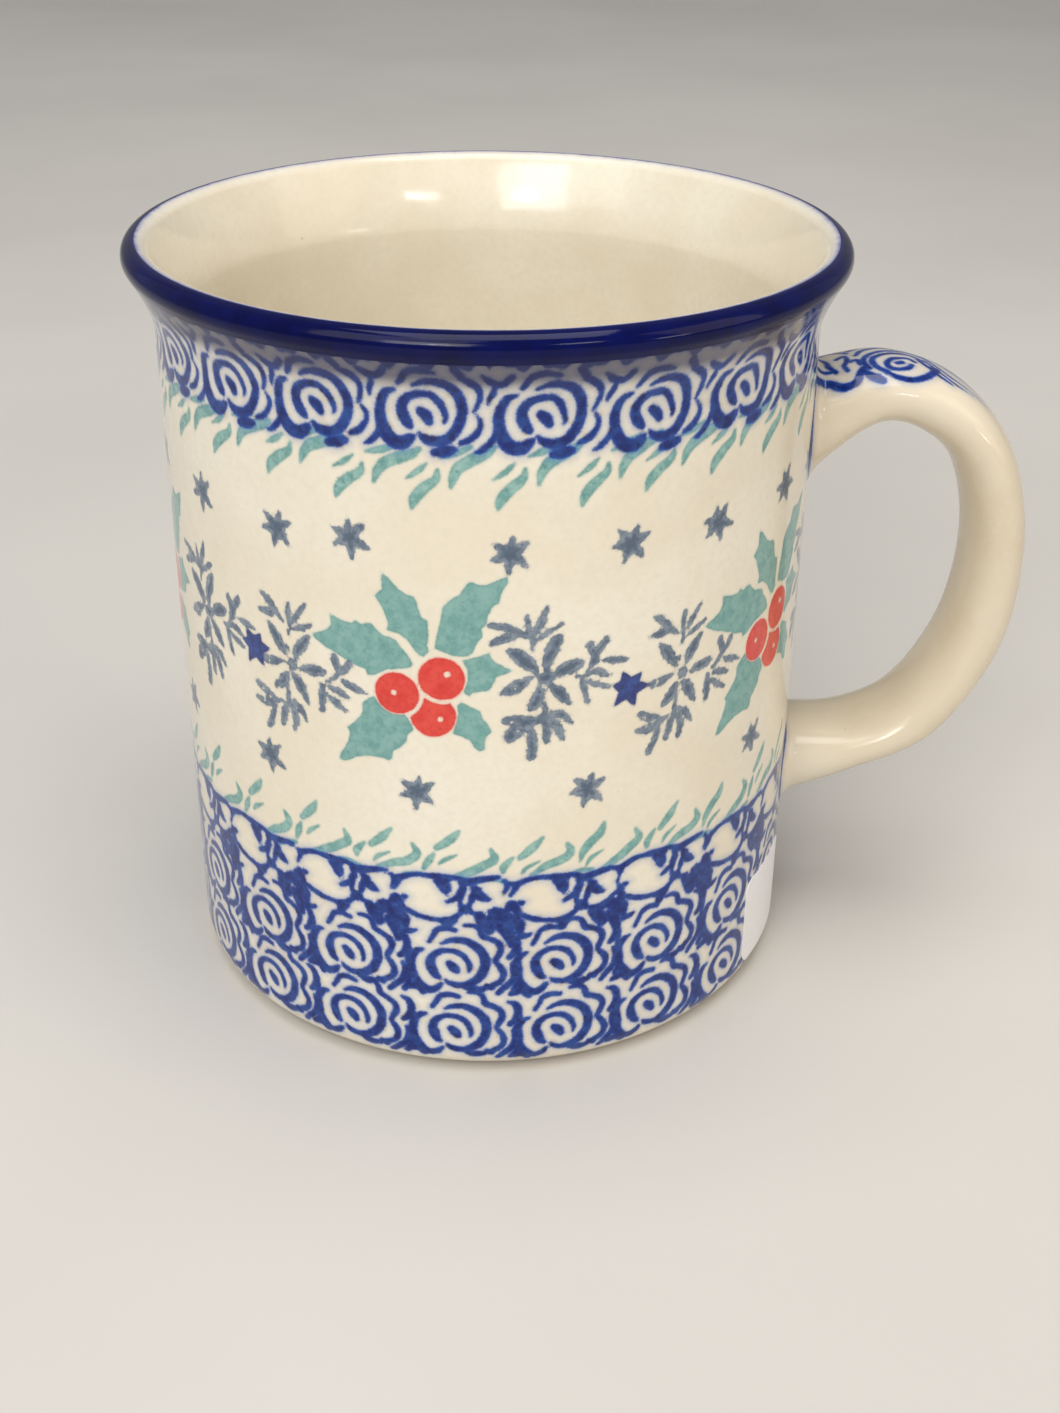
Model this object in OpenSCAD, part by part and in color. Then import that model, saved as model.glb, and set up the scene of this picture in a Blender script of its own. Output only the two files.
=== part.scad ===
// Stoneware mug with a flared lip and a strap handle.
//
// The cup is a turned stoneware body. The handle is a strap that is luted to
// the wall with a pad of slip at each end. Glaze lies over all of it as thin
// shells: cream inside, clear cream outside and on the handle, cobalt over the
// lip. The foot is left bare. A blank paper label sits low on the wall.
//
// Frame: millimetres, +Z up. The origin is where the axis of the cup meets the
// surface that the mug stands on. The handle points along +X.

/* [Cup] */
// Outer radius of the straight wall
body_r = 41.5; // [38:0.5:45]
// Height from the foot to the crest of the lip
body_h = 99.3; // [90:0.1:110]
// Thickness of the wall, glaze included
wall = 3.3; // [2.8:0.1:4.5]
// Height of the floor inside the cup
floor_h = 5; // [4.5:0.1:8]
// Radius of the rounded corner between wall and base
base_round = 4; // [3:0.1:7]
// Radius of the rounded corner between wall and floor inside
floor_round = 8; // [5:0.5:12]

/* [Lip] */
// How far the lip stands out beyond the straight wall
lip_out = 3.3; // [2.4:0.1:4]
// Radius of the rounded lip
lip_r = 1.8; // [1.5:0.05:2.1]
// Height of the flare below the crest
flare_h = 10.3; // [9:0.1:14]
// Slope of the outside of the flare where it meets the lip, in degrees
flare_out_deg = 32; // [28:1:36]
// Slope of the inside of the flare where it meets the lip, in degrees
flare_in_deg = 25; // [22:1:30]
// Height of the cobalt band on the outside, down from the crest
band_h = 3.4; // [3:0.1:6]

/* [Foot] */
// Radius of the shallow well under the base
well_r = 31; // [24:0.5:32]
// Depth of the well
well_depth = 1; // [0.5:0.1:1.5]
// Angle on the base corner where the glaze stops, in degrees below level
glaze_stop_deg = 60; // [45:1:70]

/* [Handle] */
// How far the handle stands out from the wall
handle_out = 30.5; // [26:0.5:36]
// Height of the lowest point of the handle where it meets the wall
handle_low = 19.5; // [17:0.5:24]
// Height of the handle, from that point to its top
handle_rise = 63.5; // [58:0.5:65]
// Width of the strap
strap_w = 15; // [12:0.5:18]
// How much wider the strap is where it meets the wall
strap_flare = 1.12; // [1.05:0.01:1.2]
// How far the slip pad stands out beyond the wall
pad_h = 0.6; // [0.4:0.1:1]
// How far the slip pad reaches beyond the strap all round
pad_rim = 1.2; // [0.8:0.1:2]

/* [Glaze] */
// Thickness of the glaze
glaze = 0.35; // [0.25:0.05:0.5]

/* [Label] */
// Width of the paper label along the wall
label_w = 14.6; // [10:0.2:18]
// Height of the paper label
label_h = 13.6; // [10:0.2:18]
// Height of the label's lower edge
label_z = 3.4; // [3:0.2:10]
// Direction of the label's middle, in degrees from the handle
label_deg = -24; // [-60:1:-20]
// Thickness of the paper
label_t = 0.15; // [0.1:0.05:0.3]

/* [Hidden] */
$fn = 128;

// --- Turned profile -------------------------------------------------------
// Every list below runs along one stretch of the glazed surface. The depth d
// moves it into the clay, so glaze and clay share the same points.

lip_cr = body_r + lip_out - lip_r;    // centre of the rounded lip: radius
lip_cz = body_h - lip_r;              // and height
flare_z = body_h - flare_h;           // where the wall starts to flare
inner_r = body_r - wall;

function arc(cr, cz, r, a0, a1, n) =
    [for (i = [0:n]) let (a = a0 + (a1 - a0) * i / n)
        [cr + r * cos(a), cz + r * sin(a)]];

// One side of the flare: radius grows as a power of the height, and the power
// is the one that meets the lip at the given slope.
function flare(r0, r1, z1, slope, u0, u1, n) =
    let (h = z1 - flare_z, rise = r1 - r0, p = tan(slope) * h / rise)
    [for (i = [0:n]) let (u = u0 + (u1 - u0) * i / n)
        [r0 + rise * pow(u, p), flare_z + h * u]];

function flare_out(d, u0, u1, n) =
    flare(body_r - d, lip_cr + (lip_r - d) * cos(flare_out_deg),
          lip_cz - (lip_r - d) * sin(flare_out_deg), flare_out_deg, u0, u1, n);
function flare_in(d, u0, u1, n) =
    flare(inner_r + d, lip_cr - (lip_r - d) * cos(flare_in_deg),
          lip_cz + (lip_r - d) * sin(flare_in_deg), flare_in_deg, u0, u1, n);

// Share of the flare's height at which the cobalt band starts, below the lip
band_u = min(0.97,
    (flare_h - band_h) / (flare_h - lip_r - lip_r * sin(flare_out_deg)));

function corner_out(d, a0, a1, n) =
    arc(body_r - base_round, base_round, base_round - d, a0, a1, n);

// Outside, from the glaze line up to the band
function side_out(d) = concat(
    corner_out(d, -glaze_stop_deg, 0, 8), flare_out(d, 0, band_u, 9));
// Over the lip, from the band to the crest
function over_lip(d) = concat(
    flare_out(d, band_u, 1, 3),
    [for (p = arc(lip_cr, lip_cz, lip_r - d, -flare_out_deg, 90, 10))
        if (p[1] > lip_cz - (lip_r - d) * sin(flare_out_deg) + 0.001) p]);
// Inside, from the crest down to the middle of the floor
function side_in(d) = concat(
    [for (p = arc(lip_cr, lip_cz, lip_r - d, 90, 180 - flare_in_deg, 8))
        if (p[1] > lip_cz + (lip_r - d) * sin(flare_in_deg) + 0.001) p],
    flare_in(d, 1, 0, 12),
    arc(inner_r - floor_round, floor_h + floor_round, floor_round + d,
        0, -90, 8),
    [[0, floor_h - d]]);

function rev(a) = [for (i = [len(a) - 1:-1:0]) a[i]];
function skin(a, b) = concat(a, rev(b));

// --- Handle ----------------------------------------------------------------
// Side view of the strap: distance out from the wall and height, each as a
// share of the handle's reach and rise. The first and last stations lie inside
// the wall, and are cut off by it.
OUTER = [[-0.08, 0.97], [0, 0.98], [0.33, 1.00], [0.66, 0.94], [0.90, 0.80],
         [1.00, 0.59], [0.95, 0.36], [0.69, 0.15], [0.31, 0.06], [0, 0],
         [-0.08, -0.02]];
INNER = [[-0.08, 0.72], [0, 0.76], [0.28, 0.87], [0.52, 0.84], [0.67, 0.75],
         [0.74, 0.59], [0.69, 0.40], [0.51, 0.24], [0.28, 0.18], [0, 0.18],
         [-0.08, 0.18]];
STEPS = 5;      // rings from one station to the next
SIDES = 20;     // points round the strap
ROUND = 0.9;    // power that squares the strap's section a little

function spline(p, i, t) =
    let (a = p[max(i - 1, 0)], b = p[i], c = p[i + 1],
         d = p[min(i + 2, len(p) - 1)])
    0.5 * ((2 * b) + (c - a) * t + (2 * a - 5 * b + 4 * c - d) * t * t
        + (3 * b - 3 * c + d - a) * t * t * t);

function station(p, k) =
    let (i = min(floor(k / STEPS), len(p) - 2), q = spline(p, i, k / STEPS - i))
    [body_r + handle_out * q[0], handle_low + handle_rise * q[1]];

RINGS = (len(OUTER) - 1) * STEPS;

function spow(v, p) = sign(v) * pow(abs(v), p);

// One ring of the strap, d inside its surface
function ring(k, d) =
    let (o = station(OUTER, k), i = station(INNER, k),
         m = (o + i) / 2, h = (o - i) / 2, g = 1 - d / norm(h),
         e = min(k, RINGS - k) / STEPS,
         w = strap_w / 2 * (1 + (strap_flare - 1) * exp(-pow(e / 1.4, 2))) - d)
    [for (j = [0:SIDES - 1]) let (a = 360 * j / SIDES,
            c = spow(cos(a), ROUND), s = spow(sin(a), ROUND))
        [m[0] + h[0] * g * c, w * s, m[1] + h[1] * g * c]];

function quads(n, from, to, flip) =
    [for (j = [0:n - 1]) let (k = (j + 1) % n,
            a = from + j, b = from + k, c = to + k, d = to + j)
        each flip ? [[a, c, b], [a, d, c]] : [[a, b, c], [a, c, d]]];

// The strap as one closed solid
module strap(d) {
    pts = [for (k = [0:RINGS]) each ring(k, d)];
    polyhedron(pts, concat(
        [[for (j = [SIDES - 1:-1:0]) j]],
        [for (k = [0:RINGS - 1]) each
            quads(SIDES, k * SIDES, (k + 1) * SIDES, false)],
        [[for (j = [0:SIDES - 1]) RINGS * SIDES + j]]));
}

// The shell between two depths of the strap
module strap_skin(d) {
    n = (RINGS + 1) * SIDES;
    pts = concat([for (k = [0:RINGS]) each ring(k, 0)],
                 [for (k = [0:RINGS]) each ring(k, d)]);
    polyhedron(pts, concat(
        quads(SIDES, n, 0, false),
        [for (k = [0:RINGS - 1]) each
            quads(SIDES, k * SIDES, (k + 1) * SIDES, false)],
        [for (k = [0:RINGS - 1]) each
            quads(SIDES, n + k * SIDES, n + (k + 1) * SIDES, true)],
        quads(SIDES, RINGS * SIDES, n + RINGS * SIDES, false)));
}

// Outline of a slip pad, looking at the wall along -X
module pad_outline(top, bottom) {
    hz = (top - bottom) / 2 + pad_rim;
    hy = strap_w / 2 * strap_flare + pad_rim;
    zm = (top + bottom) / 2;
    polygon([for (j = [0:31]) let (a = 360 * j / 32)
        [hy * spow(cos(a), 0.8), zm + hz * spow(sin(a), 0.8)]]);
}
module pad_prism(top, bottom, x0, x1)
    translate([x0, 0, 0]) rotate([90, 0, 90]) linear_extrude(x1 - x0)
        pad_outline(top, bottom);

up_top = handle_low + handle_rise * OUTER[1][1];
up_low = handle_low + handle_rise * INNER[1][1];
lo_top = handle_low + handle_rise * INNER[9][1];
lo_low = handle_low;

module pad(top, bottom) {
    intersection() {
        difference() {
            translate([0, 0, bottom - 3]) cylinder(
                r = body_r + pad_h, h = top - bottom + 6);
            translate([0, 0, bottom - 4]) cylinder(
                r = body_r - glaze, h = top - bottom + 8);
        }
        pad_prism(top, bottom, 20, 60);
    }
}

// --- Pieces -----------------------------------------------------------------
module cup_body() {
    color([0.80, 0.74, 0.64])
    rotate_extrude() polygon(concat(
        [[0, well_depth], [well_r - 0.8, well_depth], [well_r, 0]],
        corner_out(0, -90, -glaze_stop_deg, 4),
        side_out(glaze), over_lip(glaze), side_in(glaze)));
}

module handle() {
    color([0.82, 0.76, 0.66])
    difference() {
        strap(glaze);
        translate([0, 0, -1]) cylinder(r = body_r + pad_h, h = body_h + 2);
    }
}

module upper_handle_joint() {
    color([0.76, 0.70, 0.60]) pad(up_top, up_low);
}

module lower_handle_joint() {
    color([0.76, 0.70, 0.60]) pad(lo_top, lo_low);
}

module inside_glaze() {
    color([0.88, 0.85, 0.76])
    rotate_extrude() polygon(skin(side_in(0), side_in(glaze)));
}

module outside_glaze() {
    color([0.92, 0.90, 0.84])
    difference() {
        rotate_extrude() polygon(skin(side_out(0), side_out(glaze)));
        pad_prism(up_top, up_low, 20, 60);
        pad_prism(lo_top, lo_low, 20, 60);
    }
}

module handle_glaze() {
    color([0.92, 0.90, 0.84])
    difference() {
        strap_skin(glaze);
        translate([0, 0, -1]) cylinder(r = body_r + pad_h, h = body_h + 2);
    }
}

module rim_band() {
    color([0.01, 0.07, 0.36])
    rotate_extrude() polygon(skin(over_lip(0), over_lip(glaze)));
}

module shelf_label() {
    corner = 2;
    color([0.95, 0.95, 0.94])
    rotate([0, 0, label_deg])
    intersection() {
        difference() {
            translate([0, 0, label_z - 1])
                cylinder(r = body_r + label_t, h = label_h + 2);
            translate([0, 0, label_z - 2])
                cylinder(r = body_r, h = label_h + 4);
        }
        translate([20, 0, 0]) rotate([90, 0, 90]) linear_extrude(40)
            translate([0, label_z + label_h / 2]) union() {
                square([label_w - 2 * corner, label_h], center = true);
                square([label_w, label_h - 2 * corner], center = true);
                for (x = [-1, 1], y = [-1, 1])
                    translate([x * (label_w / 2 - corner),
                               y * (label_h / 2 - corner)])
                        circle(r = corner);
            }
    }
}

cup_body();
handle();
upper_handle_joint();
lower_handle_joint();
inside_glaze();
outside_glaze();
handle_glaze();
rim_band();
shelf_label();
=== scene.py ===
import math
import bpy
import numpy as np
from mathutils import Vector, Matrix


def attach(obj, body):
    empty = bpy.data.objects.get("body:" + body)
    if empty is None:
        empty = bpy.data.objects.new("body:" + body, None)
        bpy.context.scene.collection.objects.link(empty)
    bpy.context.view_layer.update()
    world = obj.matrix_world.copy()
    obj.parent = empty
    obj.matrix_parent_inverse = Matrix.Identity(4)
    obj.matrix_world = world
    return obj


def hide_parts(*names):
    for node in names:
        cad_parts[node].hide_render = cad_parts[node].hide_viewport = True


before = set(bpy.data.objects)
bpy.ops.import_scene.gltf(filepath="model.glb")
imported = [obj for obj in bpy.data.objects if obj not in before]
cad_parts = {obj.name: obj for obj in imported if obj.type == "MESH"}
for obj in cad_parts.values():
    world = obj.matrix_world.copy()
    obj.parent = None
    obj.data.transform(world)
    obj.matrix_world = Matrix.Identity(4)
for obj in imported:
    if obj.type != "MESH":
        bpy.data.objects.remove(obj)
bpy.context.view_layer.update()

# Lengths below are millimetres, and MM turns them into Blender's metres.
MM = 0.001

# --- profile of the turned cup ----------------------------------------------
BODY_R, BODY_H = 41.5, 99.3
INNER_R = BODY_R - 3.3
FLOOR_H, FLOOR_ROUND, BASE_ROUND = 5.0, 8.0, 4.0
LIP_R = 1.8
LIP_CR, LIP_CZ = BODY_R + 3.3 - LIP_R, BODY_H - LIP_R
FLARE_Z = 89.0
OUT_DEG, IN_DEG = 32.0, 25.0
BAND_Z = 95.9
WELL_R, WELL_DEPTH = 31.0, 1.0
GLAZE = 0.35
STOP_DEG = 60.0


def rad(d):
    return math.radians(d)


def arc(cr, cz, r, a0, a1, n):
    return [(cr + r * math.cos(rad(a0 + (a1 - a0) * i / n)),
             cz + r * math.sin(rad(a0 + (a1 - a0) * i / n))) for i in range(n + 1)]


def flare_r(z, d=0.0, inside=False):
    """Radius of the flared wall at height z, d below its surface."""
    if inside:
        r0, deg = INNER_R + d, IN_DEG
        r1 = LIP_CR - (LIP_R - d) * math.cos(rad(deg))
    else:
        r0, deg = BODY_R - d, OUT_DEG
        r1 = LIP_CR + (LIP_R - d) * math.cos(rad(deg))
    z1 = lip_joint_z(d, inside)
    if z <= FLARE_Z:
        return r0
    h, rise = z1 - FLARE_Z, r1 - r0
    p = math.tan(rad(deg)) * h / rise
    return r0 + rise * ((z - FLARE_Z) / h) ** p


def lip_joint_z(d, inside):
    """Height at which the flare meets the rounded lip."""
    return LIP_CZ + (LIP_R - d) * math.sin(rad(IN_DEG if inside else -OUT_DEG))


def span(a, b, n):
    return [a + (b - a) * i / n for i in range(n + 1)]


# --- painted decoration -----------------------------------------------------
# Every motif is a set of brush strokes or outlines, drawn in its own small drawing. A stroke is a list of
# (x, y, half width). The distance from each mesh point to the nearest stroke edge becomes an attribute, in
# millimetres, negative inside the paint, and the materials turn it into colour.
FAR = 1.6
CIRC = 2 * math.pi * BODY_R


def wrap(s):
    return (s + CIRC / 2) % CIRC - CIRC / 2


def smooth(points, n=4):
    """A stroke as a curve through its points."""
    p = np.array(points, float)
    if len(p) < 3:
        return p
    q = np.vstack([2 * p[0] - p[1], p, 2 * p[-1] - p[-2]])
    out = []
    for i in range(1, len(q) - 2):
        a, b, c, d = q[i - 1], q[i], q[i + 1], q[i + 2]
        for k in range(n):
            t = k / n
            out.append(0.5 * (2 * b + (c - a) * t + (2 * a - 5 * b + 4 * c - d) * t * t
                              + (3 * b - 3 * c + d - a) * t ** 3))
    out.append(p[-1])
    out = np.array(out)
    out[:, 2] = np.maximum(out[:, 2], 1.0)
    return out


class Motif:
    """Strokes, outlines and dots of one stamp, in millimetres about its centre."""

    def __init__(self, centre, scale, strokes=(), outlines=(), cuts=(), cut_outlines=()):
        cx, cy = centre
        self.segs = self._segs(strokes, cx, cy, scale)
        self.cuts = self._segs(cuts, cx, cy, scale)
        self.polys = [self._poly(o, cx, cy, scale) for o in outlines]
        self.cut_polys = [self._poly(o, cx, cy, scale) for o in cut_outlines]
        ends = [s[i:i + 3] for s in self.segs for i in (0, 3)]
        ends += [(v[0], v[1], 0) for p in self.polys for v in p]
        self.half = (max(abs(x) + r for x, y, r in ends), max(abs(y) + r for x, y, r in ends))

    @staticmethod
    def _segs(strokes, cx, cy, k):
        out = []
        for st in strokes:
            p = smooth(st)
            p = np.column_stack([(p[:, 0] - cx) / k, -(p[:, 1] - cy) / k, p[:, 2] / k])
            if len(p) == 1:
                p = np.vstack([p, p + [1e-4, 0, 0]])
            for a, b in zip(p[:-1], p[1:]):
                out.append((*a, *b))
        return out

    @staticmethod
    def _poly(o, cx, cy, k):
        p = np.array(o, float)
        return np.column_stack([(p[:, 0] - cx) / k, -(p[:, 1] - cy) / k])

    @staticmethod
    def _seg_sdf(segs, x, y, d):
        for ax, ay, ar, bx, by, br in segs:
            vx, vy = bx - ax, by - ay
            ll = vx * vx + vy * vy + 1e-9
            t = np.clip(((x - ax) * vx + (y - ay) * vy) / ll, 0, 1)
            np.minimum(d, np.hypot(x - ax - t * vx, y - ay - t * vy) - (ar + t * (br - ar)), out=d)
        return d

    @staticmethod
    def _poly_sdf(p, x, y):
        d = np.full(x.shape, 1e9)
        inside = np.zeros(x.shape, bool)
        for a, b in zip(p, np.roll(p, -1, axis=0)):
            vx, vy = b[0] - a[0], b[1] - a[1]
            ll = vx * vx + vy * vy + 1e-9
            t = np.clip(((x - a[0]) * vx + (y - a[1]) * vy) / ll, 0, 1)
            np.minimum(d, np.hypot(x - a[0] - t * vx, y - a[1] - t * vy), out=d)
            c = (a[1] > y) != (b[1] > y)
            xc = a[0] + (y - a[1]) / (b[1] - a[1] if b[1] != a[1] else 1e-9) * vx
            inside ^= c & (x < xc)
        return np.where(inside, -d, d)

    def sdf(self, x, y):
        d = self._seg_sdf(self.segs, x, y, np.full(x.shape, 9.0))
        for p in self.polys:
            d = np.minimum(d, self._poly_sdf(p, x, y))
        if self.cuts:
            d = np.maximum(d, -self._seg_sdf(self.cuts, x, y, np.full(x.shape, 9.0)))
        for p in self.cut_polys:
            d = np.maximum(d, -self._poly_sdf(p, x, y))
        return d


def local(s, z, cs, cz, half, turn, k):
    """Points near a stamp, in its own axes."""
    reach = math.hypot(*half) * k + FAR if turn else None
    w, h = (reach, reach) if turn else (half[0] * k + FAR, half[1] * k + FAR)
    ds = wrap(s - cs)
    m = np.nonzero((np.abs(ds) < w) & (np.abs(z - cz) < h))[0]
    x, y = ds[m], z[m] - cz
    if turn:
        c, sn = math.cos(rad(turn)), math.sin(rad(turn))
        x, y = x * c + y * sn, -x * sn + y * c
    return m, x / k, y / k


def put(acc, s, z, motif, cs, cz, turn=0.0, k=1.0):
    """Adds a stamp, turned anticlockwise by turn degrees."""
    m, x, y = local(s, z, cs, cz, motif.half, turn, k)
    if len(m):
        acc[m] = np.minimum(acc[m], motif.sdf(x, y) * k)


def cut(acc, s, z, motif, cs, cz, turn=0.0, k=1.0, gap=0.0):
    """Takes a stamp's shape out of paint that is there already."""
    m, x, y = local(s, z, cs, cz, motif.half, turn, k)
    if len(m):
        acc[m] = np.maximum(acc[m], gap - motif.sdf(x, y) * k)


# The rose stamp: an oval in rings of petals, with scallops down its right side.
ROSE_STROKES = [
    [(442, 750, 28), (468, 776, 36), (488, 802, 26)],
    [(376, 862, 18), (350, 838, 30), (330, 790, 36), (324, 738, 32), (348, 688, 26),
     (400, 656, 22), (465, 652, 22), (520, 676, 24), (556, 722, 22), (572, 772, 20),
     (566, 806, 12)],
    [(398, 600, 12), (450, 574, 22), (520, 568, 27), (585, 592, 31), (638, 640, 34),
     (668, 705, 35), (664, 780, 34), (632, 848, 34), (570, 898, 30), (500, 914, 24),
     (442, 900, 22), (416, 876, 12)],
    [(278, 655, 14), (236, 672, 26), (204, 722, 31), (194, 790, 33), (210, 858, 33),
     (246, 918, 33), (300, 962, 32), (352, 948, 28), (386, 914, 18)],
    [(536, 930, 18), (596, 946, 32), (660, 938, 22)],
    [(318, 594, 18), (344, 548, 20), (366, 504, 22), (420, 484, 23), (482, 494, 20)],
    [(545, 456, 14), (598, 454, 19), (638, 482, 22), (656, 534, 26), (708, 560, 23),
     (754, 592, 25), (768, 642, 25), (742, 702, 23), (736, 732, 20), (770, 782, 25),
     (784, 832, 25), (762, 882, 24), (704, 914, 22), (680, 912, 12)],
    [(798, 522, 12), (846, 544, 26), (868, 604, 30), (852, 668, 30), (818, 700, 22)],
    [(838, 752, 16), (858, 812, 28), (838, 880, 28), (788, 930, 26), (750, 972, 22)],
    [(884, 640, 20), (872, 720, 24), (880, 800, 26), (876, 900, 30), (850, 948, 26)],
    [(160, 960, 22), (236, 938, 38), (268, 984, 26)],
    [(676, 918, 24), (704, 926, 28)],
]
ROSE = Motif((465, 775), 50, ROSE_STROKES)
# The same stamp as it sits under the rim, with heavy bulbs along its lower edge.
ROSE_TOP = Motif((470, 440), 60, [
    [(440, 415, 34), (474, 442, 42), (494, 478, 32)],
    [(376, 528, 20), (352, 500, 38), (322, 450, 42), (315, 398, 38), (350, 338, 32),
     (420, 306, 27), (500, 302, 27), (550, 336, 28), (584, 392, 26), (600, 448, 20),
     (590, 478, 12)],
    [(398, 248, 14), (460, 222, 22), (540, 216, 27), (620, 238, 33), (676, 292, 38),
     (704, 370, 38), (698, 452, 37), (664, 530, 38), (608, 592, 40), (540, 612, 40),
     (470, 598, 32), (428, 560, 16)],
    [(276, 290, 14), (220, 312, 27), (186, 372, 34), (170, 440, 38), (180, 520, 44),
     (210, 588, 50), (262, 636, 52), (326, 640, 50), (372, 606, 36), (396, 584, 16)],
    [(534, 682, 32), (600, 668, 46), (660, 656, 28)],
    [(304, 244, 18), (334, 206, 24), (362, 170, 25), (430, 146, 23), (500, 152, 20),
     (538, 158, 12)],
    [(690, 180, 18), (750, 204, 27), (800, 240, 27), (816, 290, 23), (800, 350, 20),
     (780, 392, 14)],
    [(795, 412, 12), (824, 460, 21), (814, 520, 23), (762, 580, 27), (702, 606, 20)],
    [(825, 160, 14), (884, 198, 27), (950, 206, 25), (1004, 158, 24)],
    [(906, 226, 20), (896, 262, 24), (874, 304, 20), (868, 334, 12)],
    [(930, 520, 22), (900, 584, 26), (840, 646, 24), (800, 664, 12)],
    [(655, 120, 30), (700, 170, 26)],
])

# The row of white leaves above the roses.
LEAF_CUTS = [
    [(188, 216), (204, 168), (248, 126), (308, 94), (368, 90), (410, 106), (436, 142), (456, 182),
     (490, 212), (494, 226), (480, 256), (500, 280), (548, 266), (568, 300), (558, 336),
     (512, 366), (450, 377), (380, 370), (312, 350), (242, 318), (226, 290), (245, 272),
     (262, 240), (240, 226), (212, 224)],
    [(712, 152), (740, 132), (780, 116), (822, 106), (846, 122), (850, 154), (836, 192), (846, 222),
     (840, 250), (806, 270), (776, 300), (724, 324), (664, 322), (652, 294), (664, 266),
     (704, 258), (760, 258), (776, 240), (746, 204), (718, 176)],
    [(540, 98), (566, 106), (576, 148), (552, 190), (512, 214), (502, 212), (528, 184), (532, 150),
     (526, 120)],
    [(600, 350), (650, 368), (668, 398), (650, 430), (604, 436), (556, 424), (562, 390)],
    [(262, 414), (306, 396), (370, 408), (430, 414), (458, 428), (454, 462), (400, 458),
     (352, 470), (326, 500), (300, 470), (250, 470)],
]
LEAF_ROW = Motif((350, 230), 50, [
    [(120, 92, 14), (180, 112, 24), (232, 98, 24), (285, 78, 20), (350, 72, 18), (430, 78, 26),
     (500, 88, 32), (560, 86, 26), (620, 110, 32), (700, 98, 28), (760, 86, 22), (822, 80, 16)],
    [(200, 118, 30), (186, 152, 24), (166, 190, 16)],
    [(450, 112, 34), (482, 142, 46), (500, 180, 36), (504, 208, 14)],
    [(590, 120, 40), (602, 170, 48), (600, 240, 44), (606, 300, 42), (574, 356, 36),
     (510, 400, 42), (486, 440, 40)],
    [(490, 266, 14), (528, 246, 22), (584, 214, 26)],
    [(642, 150, 34), (692, 192, 46), (734, 228, 34), (762, 246, 14)],
    [(652, 210, 30), (648, 270, 22), (636, 322, 24), (684, 344, 20)],
    [(240, 342, 22), (300, 368, 24), (370, 388, 26), (440, 398, 28), (512, 396, 30), (560, 352, 26)],
    [(176, 270, 46), (176, 330, 64), (162, 388, 62), (214, 410, 48), (226, 460, 34)],
    [(134, 320, 40), (70, 356, 46), (24, 390, 46), (36, 440, 36)],
    [(232, 246, 26), (258, 238, 12)],
    [(690, 352, 36), (716, 400, 46), (752, 452, 46), (742, 488, 18)],
    [(782, 330, 40), (838, 362, 52), (880, 400, 50)],
    [(222, 500, 30), (282, 490, 18), (312, 448, 14), (326, 430, 8)],
    [(140, 440, 48), (168, 500, 44), (176, 560, 30)],
    [(820, 440, 38), (852, 492, 36), (866, 540, 22)],
    [(856, 110, 20), (862, 160, 28), (840, 200, 18)],
], cut_outlines=LEAF_CUTS, cuts=[
    [(634, 150, 9), (636, 176, 9), (620, 216, 10), (610, 260, 14)],
    [(118, 378, 8), (126, 402, 6)],
    [(168, 322, 7)],
    [(846, 344, 6), (828, 360, 4)],
])
LEAF_WHITE = Motif((350, 230), 50, outlines=LEAF_CUTS[:3])

# Holly: leaves, three berries and the pale dots on them.
HOLLY_AT = (785, 840)
LEAVES = [
    [(85, 558), (150, 530), (205, 505), (232, 468), (228, 400), (300, 425), (365, 432),
     (395, 408), (420, 428), (485, 410), (520, 445), (560, 480), (600, 482), (640, 500),
     (665, 540), (700, 580), (735, 640), (720, 665), (650, 680), (580, 695), (530, 720),
     (500, 742), (455, 750), (440, 715), (370, 700), (300, 665), (250, 645), (190, 625),
     (130, 590)],
    [(560, 85), (600, 115), (660, 180), (700, 205), (745, 215), (765, 250), (775, 300),
     (790, 340), (825, 360), (828, 440), (822, 520), (832, 545), (800, 590), (770, 580),
     (740, 545), (700, 490), (650, 455), (580, 445), (590, 400), (575, 350), (545, 280),
     (512, 240), (560, 190), (558, 140)],
    [(1275, 75), (1278, 110), (1240, 180), (1230, 240), (1190, 260), (1165, 320),
     (1160, 370), (1130, 400), (1138, 440), (1100, 490), (1080, 550), (1040, 575),
     (960, 570), (900, 545), (860, 530), (870, 450), (890, 380), (910, 270), (960, 215),
     (1010, 185), (1050, 115), (1075, 108), (1120, 125), (1160, 128), (1210, 100),
     (1250, 85)],
    [(245, 1350), (262, 1300), (310, 1215), (325, 1150), (310, 1120), (370, 1060),
     (405, 1020), (415, 990), (410, 940), (455, 900), (500, 875), (560, 880), (640, 930),
     (700, 1000), (730, 1065), (690, 1110), (680, 1160), (640, 1200), (600, 1230),
     (595, 1280), (570, 1300), (520, 1285), (430, 1290), (370, 1310), (310, 1345),
     (270, 1360)],
    [(1310, 660), (1260, 635), (1210, 605), (1185, 580), (1175, 540), (1130, 562),
     (1080, 575), (1020, 600), (1045, 650), (1050, 700), (1040, 750), (1020, 805),
     (1060, 830), (1075, 805), (1120, 795), (1170, 790), (1200, 735), (1215, 700),
     (1260, 685)],
    [(1010, 865), (1060, 890), (1120, 920), (1135, 970), (1165, 1010), (1188, 1060),
     (1155, 1090), (1145, 1130), (1150, 1175), (1115, 1190), (1085, 1165), (1060, 1120),
     (1010, 1090), (960, 1075), (975, 1000), (995, 940), (985, 890)],
]
HOLLY = Motif(HOLLY_AT, 50, outlines=LEAVES, cuts=[
    [(897, 722, 138)], [(632, 840, 137)], [(843, 966, 140)]])


def knob(x, y, r):
    """A painted round dot, as a stroke of a single point."""
    return [(x, y, r)]


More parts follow.
